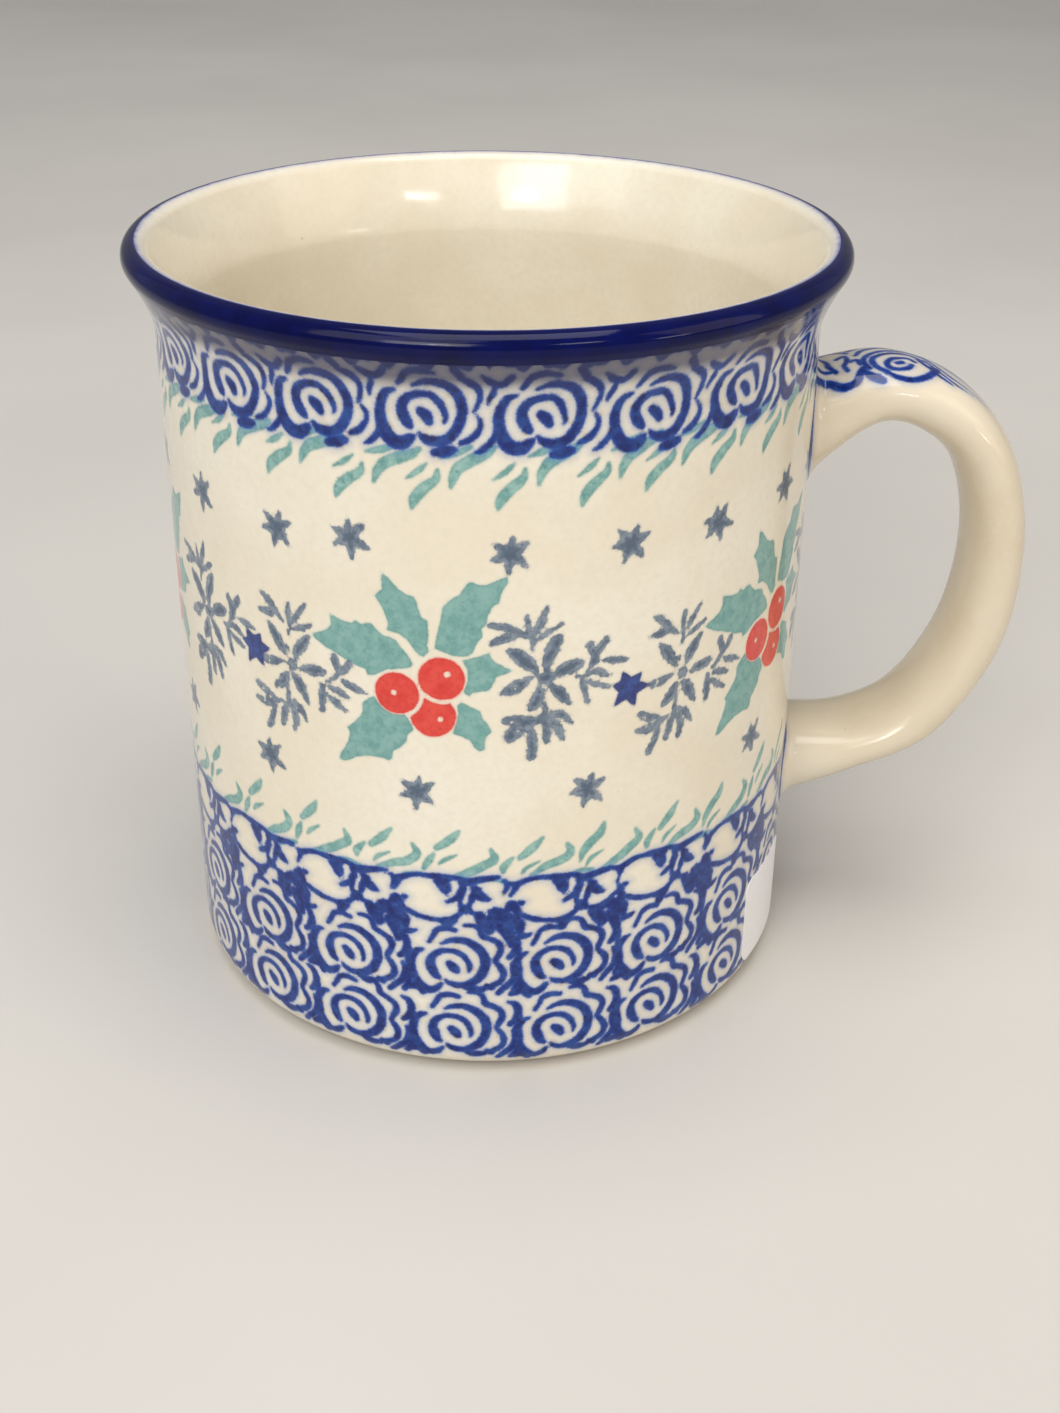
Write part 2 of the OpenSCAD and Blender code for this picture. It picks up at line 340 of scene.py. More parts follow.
BERRY_A = Motif(HOLLY_AT, 50, [knob(897, 722, 138), knob(632, 840, 135)],
                cuts=[knob(932, 690, 19), knob(613, 837, 16)])
BERRY_GAP = Motif(HOLLY_AT, 50, [knob(897, 722, 158), knob(632, 840, 156)])
BERRY_B = Motif(HOLLY_AT, 50, [knob(843, 966, 138)],
                cuts=[knob(897, 722, 160), knob(632, 840, 158), knob(887, 985, 17)])

# Snowflake of small pointed leaves.
FLAKE = Motif((440, 575), 50, [
    [(400, 540, 10), (365, 490, 38), (300, 430, 44), (245, 390, 26), (222, 382, 8)],
    [(450, 540, 16), (460, 450, 34), (490, 380, 44), (520, 325, 28), (535, 300, 8)],
    [(500, 560, 14), (545, 530, 38), (600, 510, 44), (650, 490, 24), (660, 475, 8)],
    [(480, 620, 18), (520, 660, 36), (560, 710, 30), (600, 755, 10)],
    [(415, 620, 12), (405, 680, 34), (385, 730, 38), (360, 765, 18)],
    [(375, 555, 8), (320, 590, 30), (260, 630, 40), (190, 655, 14)],
    [(410, 560, 18), (440, 575, 38), (480, 560, 30)],
    [(430, 640, 12), (445, 760, 14), (440, 820, 22)],
    [(370, 395, 8), (375, 330, 16)],
    [(375, 310, 18), (345, 240, 20), (335, 175, 12)],
    [(380, 290, 16), (420, 210, 26), (440, 150, 16), (450, 120, 6)],
    [(395, 320, 14), (460, 280, 20), (540, 230, 10)],
    [(350, 310, 10), (290, 275, 24), (220, 245, 24), (160, 228, 20), (125, 225, 14)],
    [(270, 290, 20), (200, 310, 28), (140, 335, 18)],
    [(630, 580, 10), (680, 590, 16)],
    [(700, 545, 10), (735, 490, 26), (745, 440, 30)],
    [(740, 450, 30), (705, 390, 26)],
    [(750, 440, 26), (800, 380, 26), (805, 355, 14)],
    [(790, 500, 8), (860, 505, 24), (945, 520, 8)],
    [(690, 575, 14), (760, 565, 22), (800, 590, 18), (840, 605, 8)],
    [(700, 620, 12), (760, 650, 20), (830, 675, 14)],
    [(670, 600, 16), (675, 660, 20), (705, 755, 16)],
    [(440, 800, 20), (400, 850, 24)],
    [(400, 840, 26), (330, 850, 40), (270, 835, 34), (215, 835, 18)],
    [(310, 880, 44), (250, 930, 44), (235, 965, 18)],
    [(360, 900, 26), (375, 990, 30), (370, 1080, 30)],
    [(440, 840, 20), (455, 920, 26), (460, 985, 18)],
    [(470, 830, 20), (525, 900, 28), (550, 975, 18)],
    [(480, 800, 18), (550, 820, 28), (610, 880, 10)],
], cuts=[[(270, 625, 9)], [(255, 845, 9)], [(290, 905, 9)], [(470, 360, 8)]])
# The facing snowflake of each pair, drawn on its own.
FLAKE_B = Motif((1335, 700), 50, [
    [(1295, 650, 8), (1250, 590, 34), (1205, 520, 34), (1165, 475, 14)],
    [(1360, 650, 12), (1385, 590, 34), (1420, 540, 36), (1465, 480, 14)],
    [(1395, 710, 14), (1460, 695, 34), (1520, 690, 34), (1570, 685, 10)],
    [(1340, 760, 16), (1380, 810, 40), (1410, 860, 28), (1440, 925, 10)],
    [(1290, 760, 12), (1260, 820, 34), (1230, 850, 30), (1200, 880, 14)],
    [(1270, 690, 8), (1190, 715, 30), (1140, 720, 30), (1090, 715, 12)],
    [(1335, 700, 38)],
    [(1303, 590, 14), (1312, 610, 10)],
    [(1300, 760, 10), (1290, 880, 14), (1290, 950, 20)],
    [(1320, 505, 10), (1330, 440, 14)],
    [(1330, 430, 14), (1325, 370, 20), (1330, 300, 14)],
    [(1345, 420, 12), (1400, 350, 20), (1455, 275, 8)],
    [(1360, 460, 12), (1430, 430, 20), (1495, 400, 10)],
    [(1285, 430, 10), (1230, 380, 22), (1170, 320, 26), (1120, 285, 14)],
    [(1230, 385, 20), (1160, 400, 28), (1095, 405, 12)],
    [(1240, 965, 12), (1180, 980, 24), (1130, 950, 28), (1060, 915, 26), (1030, 905, 12)],
    [(1150, 1000, 26), (1090, 1020, 30), (1025, 1010, 14)],
    [(1175, 1010, 16), (1160, 1080, 24), (1115, 1175, 24)],
    [(1275, 970, 18), (1255, 1040, 26), (1235, 1120, 16)],
    [(1310, 970, 18), (1340, 1050, 28), (1325, 1135, 14)],
    [(1330, 940, 18), (1380, 980, 24), (1420, 1050, 10)],
    # the twig on the right
    [(1635, 575, 26), (1660, 640, 24), (1665, 665, 18)],
    [(1735, 595, 26), (1700, 640, 22), (1665, 665, 18)],
    [(1665, 665, 18), (1630, 710, 16), (1585, 740, 14)],
    [(1685, 720, 14), (1745, 740, 26), (1835, 770, 8)],
    [(1595, 775, 16), (1665, 795, 24), (1720, 820, 12)],
    [(1575, 825, 14), (1635, 870, 24), (1700, 910, 12)],
    [(1545, 785, 22), (1540, 875, 26), (1535, 945, 16)],
], cuts=[[(1335, 700, 9)], [(1150, 720, 9)], [(1080, 930, 9)], [(1090, 1010, 9)], [(1140, 970, 9)]])


def star(tips, middle):
    """A six-pointed star dabbed with a pointed brush, from its tips."""
    c = np.mean(np.array(tips, float), axis=0)
    return [[(c[0], c[1], middle), (c[0] + 0.5 * (x - c[0]), c[1] + 0.5 * (y - c[1]), middle * 0.62),
             (c[0] + 0.97 * (x - c[0]), c[1] + 0.97 * (y - c[1]), 9)] for x, y in tips]


GREY_STAR = Motif((0, 0), 50, star(
    [(5, -98), (92, -62), (92, 88), (-23, 134), (-118, 44), (-106, -58)], 46))
NAVY_STAR = Motif((0, 0), 50, star(
    [(-45, -114), (78, -82), (134, 8), (42, 124), (-88, 98), (-106, -40)], 58))

# Slanting leaf strokes below and above the cobalt borders.
SPRIG_TOP = Motif((600, 620), 50, [
    [(700, 530, 18), (655, 560, 30), (600, 580, 36), (510, 620, 36), (480, 650, 32),
     (460, 680, 28), (440, 738, 12)],
    [(375, 640, 12), (360, 690, 26), (290, 740, 34), (230, 800, 32), (208, 856, 10)],
    [(320, 600, 10), (270, 640, 20), (200, 680, 8)],
    [(400, 570, 10), (480, 550, 24), (570, 520, 14)],
])
SPRIG_LOW = [Motif((480, 240), 40, [
    [(480, 240, 10), (500, 290, 24), (460, 330, 26), (380, 360, 24), (310, 410, 12)],
    [(665, 150, 10), (650, 200, 24), (600, 250, 26), (565, 300, 22), (552, 355, 8)],
    [(672, 303, 6), (610, 340, 14), (588, 378, 8)],
    [(500, 425, 8), (560, 405, 14), (620, 410, 12)],
]), Motif((1200, 205), 40, [
    [(1200, 205, 10), (1220, 260, 24), (1170, 300, 27), (1090, 350, 25), (1000, 392, 12)],
    [(1450, 140, 10), (1400, 200, 25), (1345, 250, 18)],
    [(1310, 250, 10), (1270, 300, 22), (1265, 332, 14)],
    [(1440, 275, 6), (1380, 310, 14), (1358, 340, 8)],
    [(1140, 392, 10), (1210, 375, 15), (1330, 402, 10)],
]), Motif((825, 240), 40, [
    [(825, 240, 10), (850, 290, 24), (810, 340, 26), (740, 370, 24), (660, 410, 12)],
    [(1045, 130, 10), (1010, 180, 25), (945, 240, 18)],
    [(932, 276, 10), (910, 320, 22), (890, 368, 12)],
    [(1045, 265, 6), (990, 300, 14), (965, 328, 8)],
    [(750, 462, 8), (800, 420, 14), (880, 400, 12)],
])]

# Where each stamp sits: distance round the wall from -Y towards +X, and height.


def spread(seen, count, rng, wobble=0.25):
    """Places seen in the photograph's view, and the rest shared out round the back."""
    left = count - len(seen)
    step = (CIRC - (seen[-1] - seen[0])) / (left + 1)
    return list(seen) + [seen[-1] + step * (i + 1) + rng.uniform(-wobble, wobble)
                         for i in range(left)]


RNG = np.random.default_rng(20)
TOP_ROSES = [(s, z, t) for s, z, t in zip(
    spread([-44.6, -31.9, -19.6, -7.1, 5.7, 18.4, 31.4, 43.9], 21, RNG),
    [88.8, 88.5, 88.7, 88.9, 88.6, 88.0, 88.3, 88.6] + list(RNG.uniform(88.2, 89.0, 13)),
    list(RNG.uniform(-3, 3, 8)) + list(RNG.uniform(-5, 4, 13)))]
LOW_X = spread([-46.1, -32.4, -18.9, -5.0, 8.2, 21.7, 35.6], 19, RNG)
MID_ROSES = [(s, 16.7 + w, t) for s, w, t in zip(
    LOW_X, RNG.uniform(-0.3, 0.5, 19), RNG.uniform(-3, 5, 19))]
LOW_ROSES = [(s + w, 6.9 + v, t) for s, w, v, t in zip(
    LOW_X, RNG.uniform(-0.3, 0.4, 19), RNG.uniform(-0.2, 0.2, 19), RNG.uniform(-3, 4, 19))]
LEAF_PLACES = [(s, 27.4 + w, t) for s, w, t in zip(
    spread([-49.6, -36.1, -22.6, -8.6, 5.9, 19.4, 33.4], 19, RNG),
    RNG.uniform(-0.25, 0.25, 19), RNG.uniform(-2, 3, 19))]
SPRIGS_TOP = [(-1.1 + CIRC / 29 * i + w, 83.6 + v, t) for i, w, v, t in zip(
    range(29), RNG.uniform(-0.5, 0.5, 29), RNG.uniform(-0.5, 0.5, 29), RNG.uniform(-7, 6, 29))]
SPRIGS_LOW = [(-18.85 + CIRC / 28 * i + w, 35.0 + v, t, int(p)) for i, w, v, t, p in zip(
    range(28), RNG.uniform(-0.4, 0.4, 28), RNG.uniform(-0.4, 0.4, 28),
    RNG.uniform(-5, 5, 28), RNG.integers(0, 3, 28))]
HOLLIES = [(-57.2, 55.2, 1.0), (-8.1, 55.2, 0.0), (41.0, 54.5, 0.0), (98.5, 55.0, -2.0),
           (150.8, 55.4, 2.0)]
FLAKES = [(6.0, 57.5, 0.0, 0), (23.9, 55.0, 0.0, 1), (-41.0, 57.5, 1.0, 0), (-25.0, 55.9, 0.0, 1),
          (55.1, 57.3, -1.0, 0), (76.5, 55.2, 2.0, 1), (113.6, 57.2, 1.0, 0), (131.0, 55.3, -2.0, 1),
          (166.0, 57.6, -2.0, 0), (183.6, 55.2, 1.0, 1)]
NAVY_STARS = [(16.4, 54.8, 0), (-31.1, 56.5, 14), (66.2, 55.5, -10), (123.9, 55.4, 20),
              (176.2, 55.6, 5)]
GREY_STARS = [(s, z, t) for s, z, t in zip(
    [-39.9, -25.9, -16.1, 2.2, 16.2, 28.4, 42.6, 54.0, 82.5, 97.0, 110.5, 125.5, 139.0, 153.5,
     166.0, 180.5, 193.5, 206.0,
     -29.4, -8.8, 11.8, 38.4, 58.0, 84.5, 106.5, 127.5, 148.0, 172.5, 193.0, 211.0],
    [73.7, 73.2, 74.1, 73.3, 73.3, 73.2, 73.6, 72.4, 73.4, 73.0, 73.9, 73.2, 73.6, 73.1,
     73.8, 73.2, 73.5, 73.9,
     42.5, 42.4, 42.3, 40.9, 42.0, 42.2, 42.6, 41.8, 42.7, 42.1, 42.5, 42.0],
    [4, -8, 12, 0, -14, 20, 30, -20, 10, -25, 5, 17, -12, 25, -5, 14, -18, 8,
     10, 0, -8, 16, 28, -14, 6, -22, 12, 20, -6, 24])]

PAINTS = ("a_cobalt", "a_teal", "a_red", "a_grey", "a_navy", "a_white")


def paint_wall(s, z):
    """Distance to each colour's edge, at places round the wall and heights on it."""
    a = {k: np.full(s.shape, FAR) for k in PAINTS}
    lo, hi = z.min() - 2, z.max() + 2
    co, te, re, gr, na, wh = (a[k] for k in PAINTS)
    if hi > 77:
        for cs, cz, t in SPRIGS_TOP:
            put(te, s, z, SPRIG_TOP, cs, cz, t)
        for cs, cz, t in TOP_ROSES:
            put(co, s, z, ROSE_TOP, cs, cz, t)
        # roses' tops run into the dark edge under the rim
        np.minimum(co, 94.2 - z + 0.35 * np.sin(s * 1.7) + 0.2 * np.sin(s * 3.1 + 1), out=co)
    if lo < 77 and hi > 38:
        for cs, cz, t in HOLLIES:
            put(te, s, z, HOLLY, cs, cz, t)
            put(re, s, z, BERRY_A, cs, cz, t)
            put(re, s, z, BERRY_B, cs, cz, t)
        for cs, cz, t, b in FLAKES:
            put(gr, s, z, (FLAKE, FLAKE_B)[b], cs, cz, t)
        for cs, cz, t in GREY_STARS:
            put(gr, s, z, GREY_STAR, cs, cz, t)
        for cs, cz, t in NAVY_STARS:
            put(na, s, z, NAVY_STAR, cs, cz, t)
            cut(gr, s, z, NAVY_STAR, cs, cz, t)
    if lo < 40:
        for cs, cz, t, p in SPRIGS_LOW:
            put(te, s, z, SPRIG_LOW[p], cs, cz, t)
        for cs, cz, t in LEAF_PLACES:
            put(co, s, z, LEAF_ROW, cs, cz, t)
        for cs, cz, t in MID_ROSES:
            put(co, s, z, ROSE, cs, cz, t)
        for cs, cz, t in LOW_ROSES:
            put(co, s, z, ROSE, cs, cz, t)
        for cs, cz, t in LEAF_PLACES:
            cut(co, s, z, LEAF_WHITE, cs, cz, t)
            put(wh, s, z, LEAF_WHITE, cs, cz, t)
    for k in PAINTS:
        np.clip(a[k], -FAR, FAR, out=a[k])
    return a
# --- end of the painted decoration ------------------------------------------


# --- meshes -----------------------------------------------------------------


def new_object(name, verts, faces, mat, sharp=38, node=()):
    """A mesh object from points in millimetres and blocks of same-sized faces."""
    me = bpy.data.meshes.new(name)
    v = np.asarray(verts, dtype=np.float32) * MM
    me.vertices.add(len(v))
    me.vertices.foreach_set("co", v.ravel())
    sizes = np.concatenate([np.full(len(f), f.shape[1], dtype=np.int32) for f in faces])
    loops = np.concatenate([f.ravel() for f in faces]).astype(np.int32)
    me.loops.add(int(sizes.sum()))
    me.loops.foreach_set("vertex_index", loops)
    me.polygons.add(len(sizes))
    me.polygons.foreach_set("loop_start", np.concatenate([[0], np.cumsum(sizes)[:-1]]).astype(np.int32))
    me.polygons.foreach_set("use_smooth", np.ones(len(sizes), dtype=bool))
    me.update(calc_edges=True)
    me.validate()
    if sharp:
        me.set_sharp_from_angle(angle=rad(sharp))
    ob = bpy.data.objects.new(name, me)
    bpy.context.scene.collection.objects.link(ob)
    me.materials.append(mat)
    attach(ob, "root")
    if node:
        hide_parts(*node)
    return ob


def grid_faces(rows, cols, base=0, closed=True, flip=False):
    """Quads of a grid whose points run round first, then along."""
    n = cols if closed else cols - 1
    i, j = np.meshgrid(np.arange(rows - 1), np.arange(n), indexing="ij")
    a = base + i * cols + j
    b = base + i * cols + (j + 1) % cols
    q = np.stack([a, b, b + cols, a + cols], axis=-1).reshape(-1, 4)
    return q[:, ::-1] if flip else q


def turned(name, loop, cols, mat, uv_rows=None, strips=1, node=(), sharp=38, paint=None):
    """Turns a closed outline of (r, z) points about Z. The outline's points run
    upward on the outside. uv_rows rows from the first point get the stacked UVs."""
    th = 2 * math.pi * np.arange(cols) / cols - math.pi / 2
    ring = [(r, z) for r, z in loop]
    n = len(ring)
    verts, index = [], []
    count = 0
    for r, z in ring:
        if r < 1e-6:
            verts.append(np.array([[0, 0, z]]))
            index.append((count, True))
            count += 1
        else:
            verts.append(np.column_stack([r * np.cos(th), r * np.sin(th), np.full(cols, z)]))
            index.append((count, False))
            count += cols
    verts = np.vstack(verts)
    j = np.arange(cols)
    k = (j + 1) % cols
    faces, uvs = [], []
    length = [0.0]
    for i in range(n):
        (r0, z0), (r1, z1) = ring[i], ring[(i + 1) % n]
        length.append(length[-1] + math.hypot(r1 - r0, z1 - z0))
    main = uv_rows - 1 if uv_rows else 0
    for i in range(n):
        (b0, p0), (b1, p1) = index[i], index[(i + 1) % n]
        if p0 and p1:
            continue
        u0, u1 = j / cols, (j + 1) / cols
        if i < main:
            per = cols / strips
            strip = np.minimum((j // per).astype(int), strips - 1)
            f0 = (j - strip * per) / per
            f1 = (j + 1 - strip * per) / per
            u0, u1 = 0.004 + 0.992 * f0, 0.004 + 0.992 * np.minimum(f1, 1)
            top = 0.95 / strips
            v0 = 0.045 + strip * top + top * (0.03 + 0.94 * length[i] / length[main])
            v1 = 0.045 + strip * top + top * (0.03 + 0.94 * length[i + 1] / length[main])
        else:
            tail = length[n] - length[main]
            h = 0.036 if main else 0.98
            v0 = np.full(cols, 0.004 + h * (length[i] - length[main]) / tail)
            v1 = np.full(cols, 0.004 + h * (length[i + 1] - length[main]) / tail)
        if p0:
            faces.append(np.column_stack([np.full(cols, b0), b1 + k, b1 + j]))
            uvs.append(np.stack([np.column_stack([(u0 + u1) / 2, v0]), np.column_stack([u1, v1]),
                                 np.column_stack([u0, v1])], axis=1))
        elif p1:
            faces.append(np.column_stack([b0 + j, b0 + k, np.full(cols, b1)]))
            uvs.append(np.stack([np.column_stack([u0, v0]), np.column_stack([u1, v0]),
                                 np.column_stack([(u0 + u1) / 2, v1])], axis=1))
        else:
            faces.append(np.column_stack([b0 + j, b0 + k, b1 + k, b1 + j]))
            uvs.append(np.stack([np.column_stack([u0, v0]), np.column_stack([u1, v0]),
                                 np.column_stack([u1, v1]), np.column_stack([u0, v1])], axis=1))
    ob = new_object(name, verts, faces, mat, sharp, node)
    uv = ob.data.uv_layers.new(name="OFBake")
    uv.data.foreach_set("uv", np.concatenate([u.reshape(-1) for u in uvs]).astype(np.float32))
    if paint:
        rows = paint["rows"]
        s = np.tile((th + math.pi / 2) * BODY_R, rows)
        z = np.repeat([p[1] for p in ring[:rows]], cols)
        r = np.repeat([p[0] for p in ring[:rows]], cols)
        # where the surface stands off the straight wall, the drawing runs along it
        flat = z - (r - BODY_R) * (155.35 - z) / 182.98
        turn = np.arcsin(np.clip((BASE_ROUND - z) / BASE_ROUND, 0, 1))
        flat = np.where(z < BASE_ROUND, BASE_ROUND * (1 - turn), flat)
        a = paint_wall(s, (flat + 0.27) / 1.0092)
        for key, val in a.items():
            if key not in paint["keys"]:
                continue
            full = np.full(len(verts), FAR, dtype=np.float32)
            full[:rows * cols] = val
            at = ob.data.attributes.new(key, "FLOAT", "POINT")
            at.data.foreach_set("value", full)
    return ob


# --- materials --------------------------------------------------------------


def lin(*c):
    """A screen colour, 0 to 255, as the linear colour that shaders use."""
    return tuple([(v / 255 / 12.92) if v / 255 <= 0.04045 else ((v / 255 + 0.055) / 1.055) ** 2.4
                  for v in c] + [1.0])


class Nodes:
    """A material's node tree, built with short calls."""

    def __init__(self, name):
        self.mat = bpy.data.materials.new(name)
        self.mat.use_nodes = True
        self.t = self.mat.node_tree
        self.t.nodes.clear()
        self.out = self.t.nodes.new("ShaderNodeOutputMaterial")
        self.bsdf = self.t.nodes.new("ShaderNodeBsdfPrincipled")
        self.t.links.new(self.bsdf.outputs[0], self.out.inputs[0])
        self.co = self.t.nodes.new("ShaderNodeTexCoord").outputs["Object"]

    def put(self, sock, v):
        if isinstance(v, bpy.types.NodeSocket):
            self.t.links.new(v, sock)
        elif v is not None:
            sock.default_value = v

    def math(self, op, a, b=None, c=None, clamp=False):
        n = self.t.nodes.new("ShaderNodeMath")
        n.operation, n.use_clamp = op, clamp
        for i, v in enumerate((a, b, c)):
            self.put(n.inputs[i], v)
        return n.outputs[0]

    def mix(self, fac, a, b, mode="MIX"):
        n = self.t.nodes.new("ShaderNodeMix")
        n.data_type, n.blend_type = "RGBA", mode
        self.put(n.inputs[0], fac)
        self.put(n.inputs[6], a)
        self.put(n.inputs[7], b)
        return n.outputs[2]

    def ramp(self, fac, stops, ease="LINEAR"):
        n = self.t.nodes.new("ShaderNodeValToRGB")
        n.color_ramp.interpolation = ease
        e = n.color_ramp.elements
        while len(e) > 1:
            e.remove(e[-1])
        for i, (pos, col) in enumerate(stops):
            el = e[0] if i == 0 else e.new(pos)
            el.position = pos
            el.color = col if isinstance(col, tuple) else (col, col, col, 1)
        self.put(n.inputs[0], fac)
        return n.outputs[0]

    def range(self, v, a, b, c=0.0, d=1.0, ease="SMOOTHSTEP"):
        n = self.t.nodes.new("ShaderNodeMapRange")
        n.interpolation_type = ease
        n.clamp = True
        for i, x in enumerate((v, a, b, c, d)):
            self.put(n.inputs[i], x)
        return n.outputs[0]

    def attr(self, name):
        n = self.t.nodes.new("ShaderNodeAttribute")
        n.attribute_name = name
        return n.outputs["Fac"]

    def noise(self, size, detail=2.0, rough=0.5, distortion=0.0, co=None):
        """Noise whose features are about size millimetres across."""
        n = self.t.nodes.new("ShaderNodeTexNoise")
        self.put(n.inputs["Vector"], co or self.co)
        n.inputs["Scale"].default_value = 1 / (size * MM)
        n.inputs["Detail"].default_value = detail
        n.inputs["Roughness"].default_value = rough
        n.inputs["Distortion"].default_value = distortion
        return n.outputs["Fac"]

    def shifted(self, by):
        """The same coordinates, moved so that a second noise differs from the first."""
        n = self.t.nodes.new("ShaderNodeVectorMath")
        n.operation = "ADD"
        self.put(n.inputs[0], self.co)
        n.inputs[1].default_value = (by, by * 2, by * 3)
        return n.outputs[0]

    def cells(self, size, feature="F1"):
        n = self.t.nodes.new("ShaderNodeTexVoronoi")
        n.feature = feature
        self.put(n.inputs["Vector"], self.co)
        n.inputs["Scale"].default_value = 1 / (size * MM)
        return n.outputs

    def bump(self, height, depth, normal=None, strength=1.0):
        """Bump of a height from 0 to 1, standing depth millimetres proud."""
        n = self.t.nodes.new("ShaderNodeBump")
        n.inputs["Strength"].default_value = strength
        n.inputs["Distance"].default_value = depth * MM
        self.put(n.inputs["Height"], height)
        self.put(n.inputs["Normal"], normal)
        return n.outputs[0]

    def specks(self, size, share, low, high):
        """Little round specks, one in some of the cells, 0 to 1."""
        out = self.cells(size)
        rnd = self.t.nodes.new("ShaderNodeSeparateColor")
        self.put(rnd.inputs[0], out["Color"])
        on = self.math("GREATER_THAN", rnd.outputs[0], 1 - share)
        rad_ = self.range(rnd.outputs[1], 0, 1, low / size, high / size, "LINEAR")
        near = self.range(self.math("SUBTRACT", out["Distance"], rad_), -0.03, 0.03, 1, 0)
        return self.math("MULTIPLY", on, near)

    def set(self, **values):
        for key, v in values.items():
            self.put(self.bsdf.inputs[key.replace("_", " ").title() if key not in ("IOR",) else key], v)


CREAM = lin(238, 231, 214)


def glaze_base(n, tone=CREAM, warm=None):
    """Cream glaze over stoneware: cloudy, with fine iron specks."""
    cloud = n.noise(18, 3, 0.55)
    fine = n.noise(0.9, 3, 0.6)
    col = n.mix(n.range(cloud, 0.3, 0.7, 0, 1), tone, warm or lin(232, 222, 201))
    col = n.mix(n.range(fine, 0.35, 0.75, 0, 0.35), col, lin(222, 212, 192))
    small = n.specks(1.1, 0.30, 0.03, 0.09)
    big = n.specks(4.2, 0.20, 0.06, 0.17)
    col = n.mix(n.math("MULTIPLY", small, 0.30), col, lin(150, 132, 108))
    col = n.mix(n.math("MULTIPLY", big, 0.50), col, lin(120, 100, 78))
    return col


def glaze_finish(n, col, peel=0.016, extra=None):
    rough = n.range(n.noise(6, 3, 0.6), 0.3, 0.7, 0.07, 0.15, "LINEAR")
    n.put(n.bsdf.inputs["Base Color"], col)
    n.put(n.bsdf.inputs["Roughness"], rough)
    n.bsdf.inputs["IOR"].default_value = 1.47
    nb = n.bump(n.noise(3.4, 2, 0.5), peel)
    nb = n.bump(n.noise(15, 1, 0.5), 0.10, nb)
    nb = n.bump(n.noise(0.45, 1, 0.5), 0.0012, nb)
    if extra is not None:
        nb = n.bump(extra, 0.02, nb)
    n.put(n.bsdf.inputs["Normal"], nb)
    return n.mat


def ragged(n, key, size=0.28, amount=0.09, size2=1.3, amount2=0.08):
    """A colour's distance field, with the uneven edge of a brush or sponge."""
    d = n.attr(key)
    a = n.math("MULTIPLY", n.math("SUBTRACT", n.noise(size, 2, 0.6), 0.5), amount * 2)
    b = n.math("MULTIPLY", n.math("SUBTRACT", n.noise(size2, 2, 0.5), 0.5), amount2 * 2)
    return n.math("ADD", d, n.math("ADD", a, b))


def cobalt_on(n, col, key="a_cobalt", dark=0.0):
    d = ragged(n, key, 0.3, 0.11, 1.2, 0.13)
    body = n.ramp(n.range(d, -0.45, 0.15, 0, 1, "LINEAR"), [
        (0.0, lin(2, 32, 108)), (0.35, lin(4, 46, 130)), (0.62, lin(13, 66, 152)),
        (0.80, lin(42, 98, 174)), (1.0, lin(94, 138, 198))])
    patch = n.range(n.noise(1.5, 3, 0.6), 0.35, 0.75)
    body = n.mix(n.math("MULTIPLY", patch, 0.5), body, lin(48, 94, 172))
    pool = n.range(n.noise(1.1, 2, 0.5, co=n.shifted(0.04)), 0.52, 0.74)
    body = n.mix(n.math("MULTIPLY", pool, 0.85), body, lin(4, 20, 84))
    fac = n.ramp(n.range(d, -0.2, 1.2, 0, 1, "LINEAR"), [
        (0.0, 1.0), (0.06, 0.96), (0.13, 0.76), (0.20, 0.47), (0.29, 0.30), (0.45, 0.18),
        (0.72, 0.07), (1.0, 0.0)])
    return n.mix(fac, col, body)


def wash_on(n, col, key, edge, inner, pale, soft=0.16, strength=0.97, blots=1.0, deep=0.0, lumps=0.0):
    """Watery underglaze colour: darker where it pooled at the edge and in blots."""
    d = ragged(n, key, 0.32, 0.10, 1.4, 0.12)
    if lumps:
        # leaflets dabbed with a wet brush come out lumpy
        wave = n.math("SUBTRACT", n.noise(0.62, 1, 0.4, co=n.shifted(0.02)), 0.5)
        d = n.math("ADD", d, n.math("MULTIPLY_ADD", wave, lumps * 2, -0.16 * lumps))
    blot = n.noise(1.5, 4, 0.62)
    grain = n.noise(0.35, 2, 0.6)
    paint = n.mix(n.range(blot, 0.36, 0.64, 0, blots), inner, pale)
    rim_ = n.range(d, -0.36, -0.10, 0, 0.22)
    paint = n.mix(rim_, paint, edge)
    paint = n.mix(n.range(n.noise(0.8, 3, 0.6, co=n.shifted(0.03)), 0.52, 0.72, 0, 0.7 * blots),
                  paint, edge)
    if deep:
        paint = n.mix(n.range(d, -0.72, -0.22, deep, 0), paint, edge)
    paint = n.mix(n.range(grain, 0.5, 0.85, 0, 0.35), paint, edge)
    fac = n.range(d, soft, -soft, 0, strength)
    halo = n.range(d, 0.36, 0.0, 0, 0.18)
    return n.mix(n.math("MAXIMUM", fac, halo), col, paint)


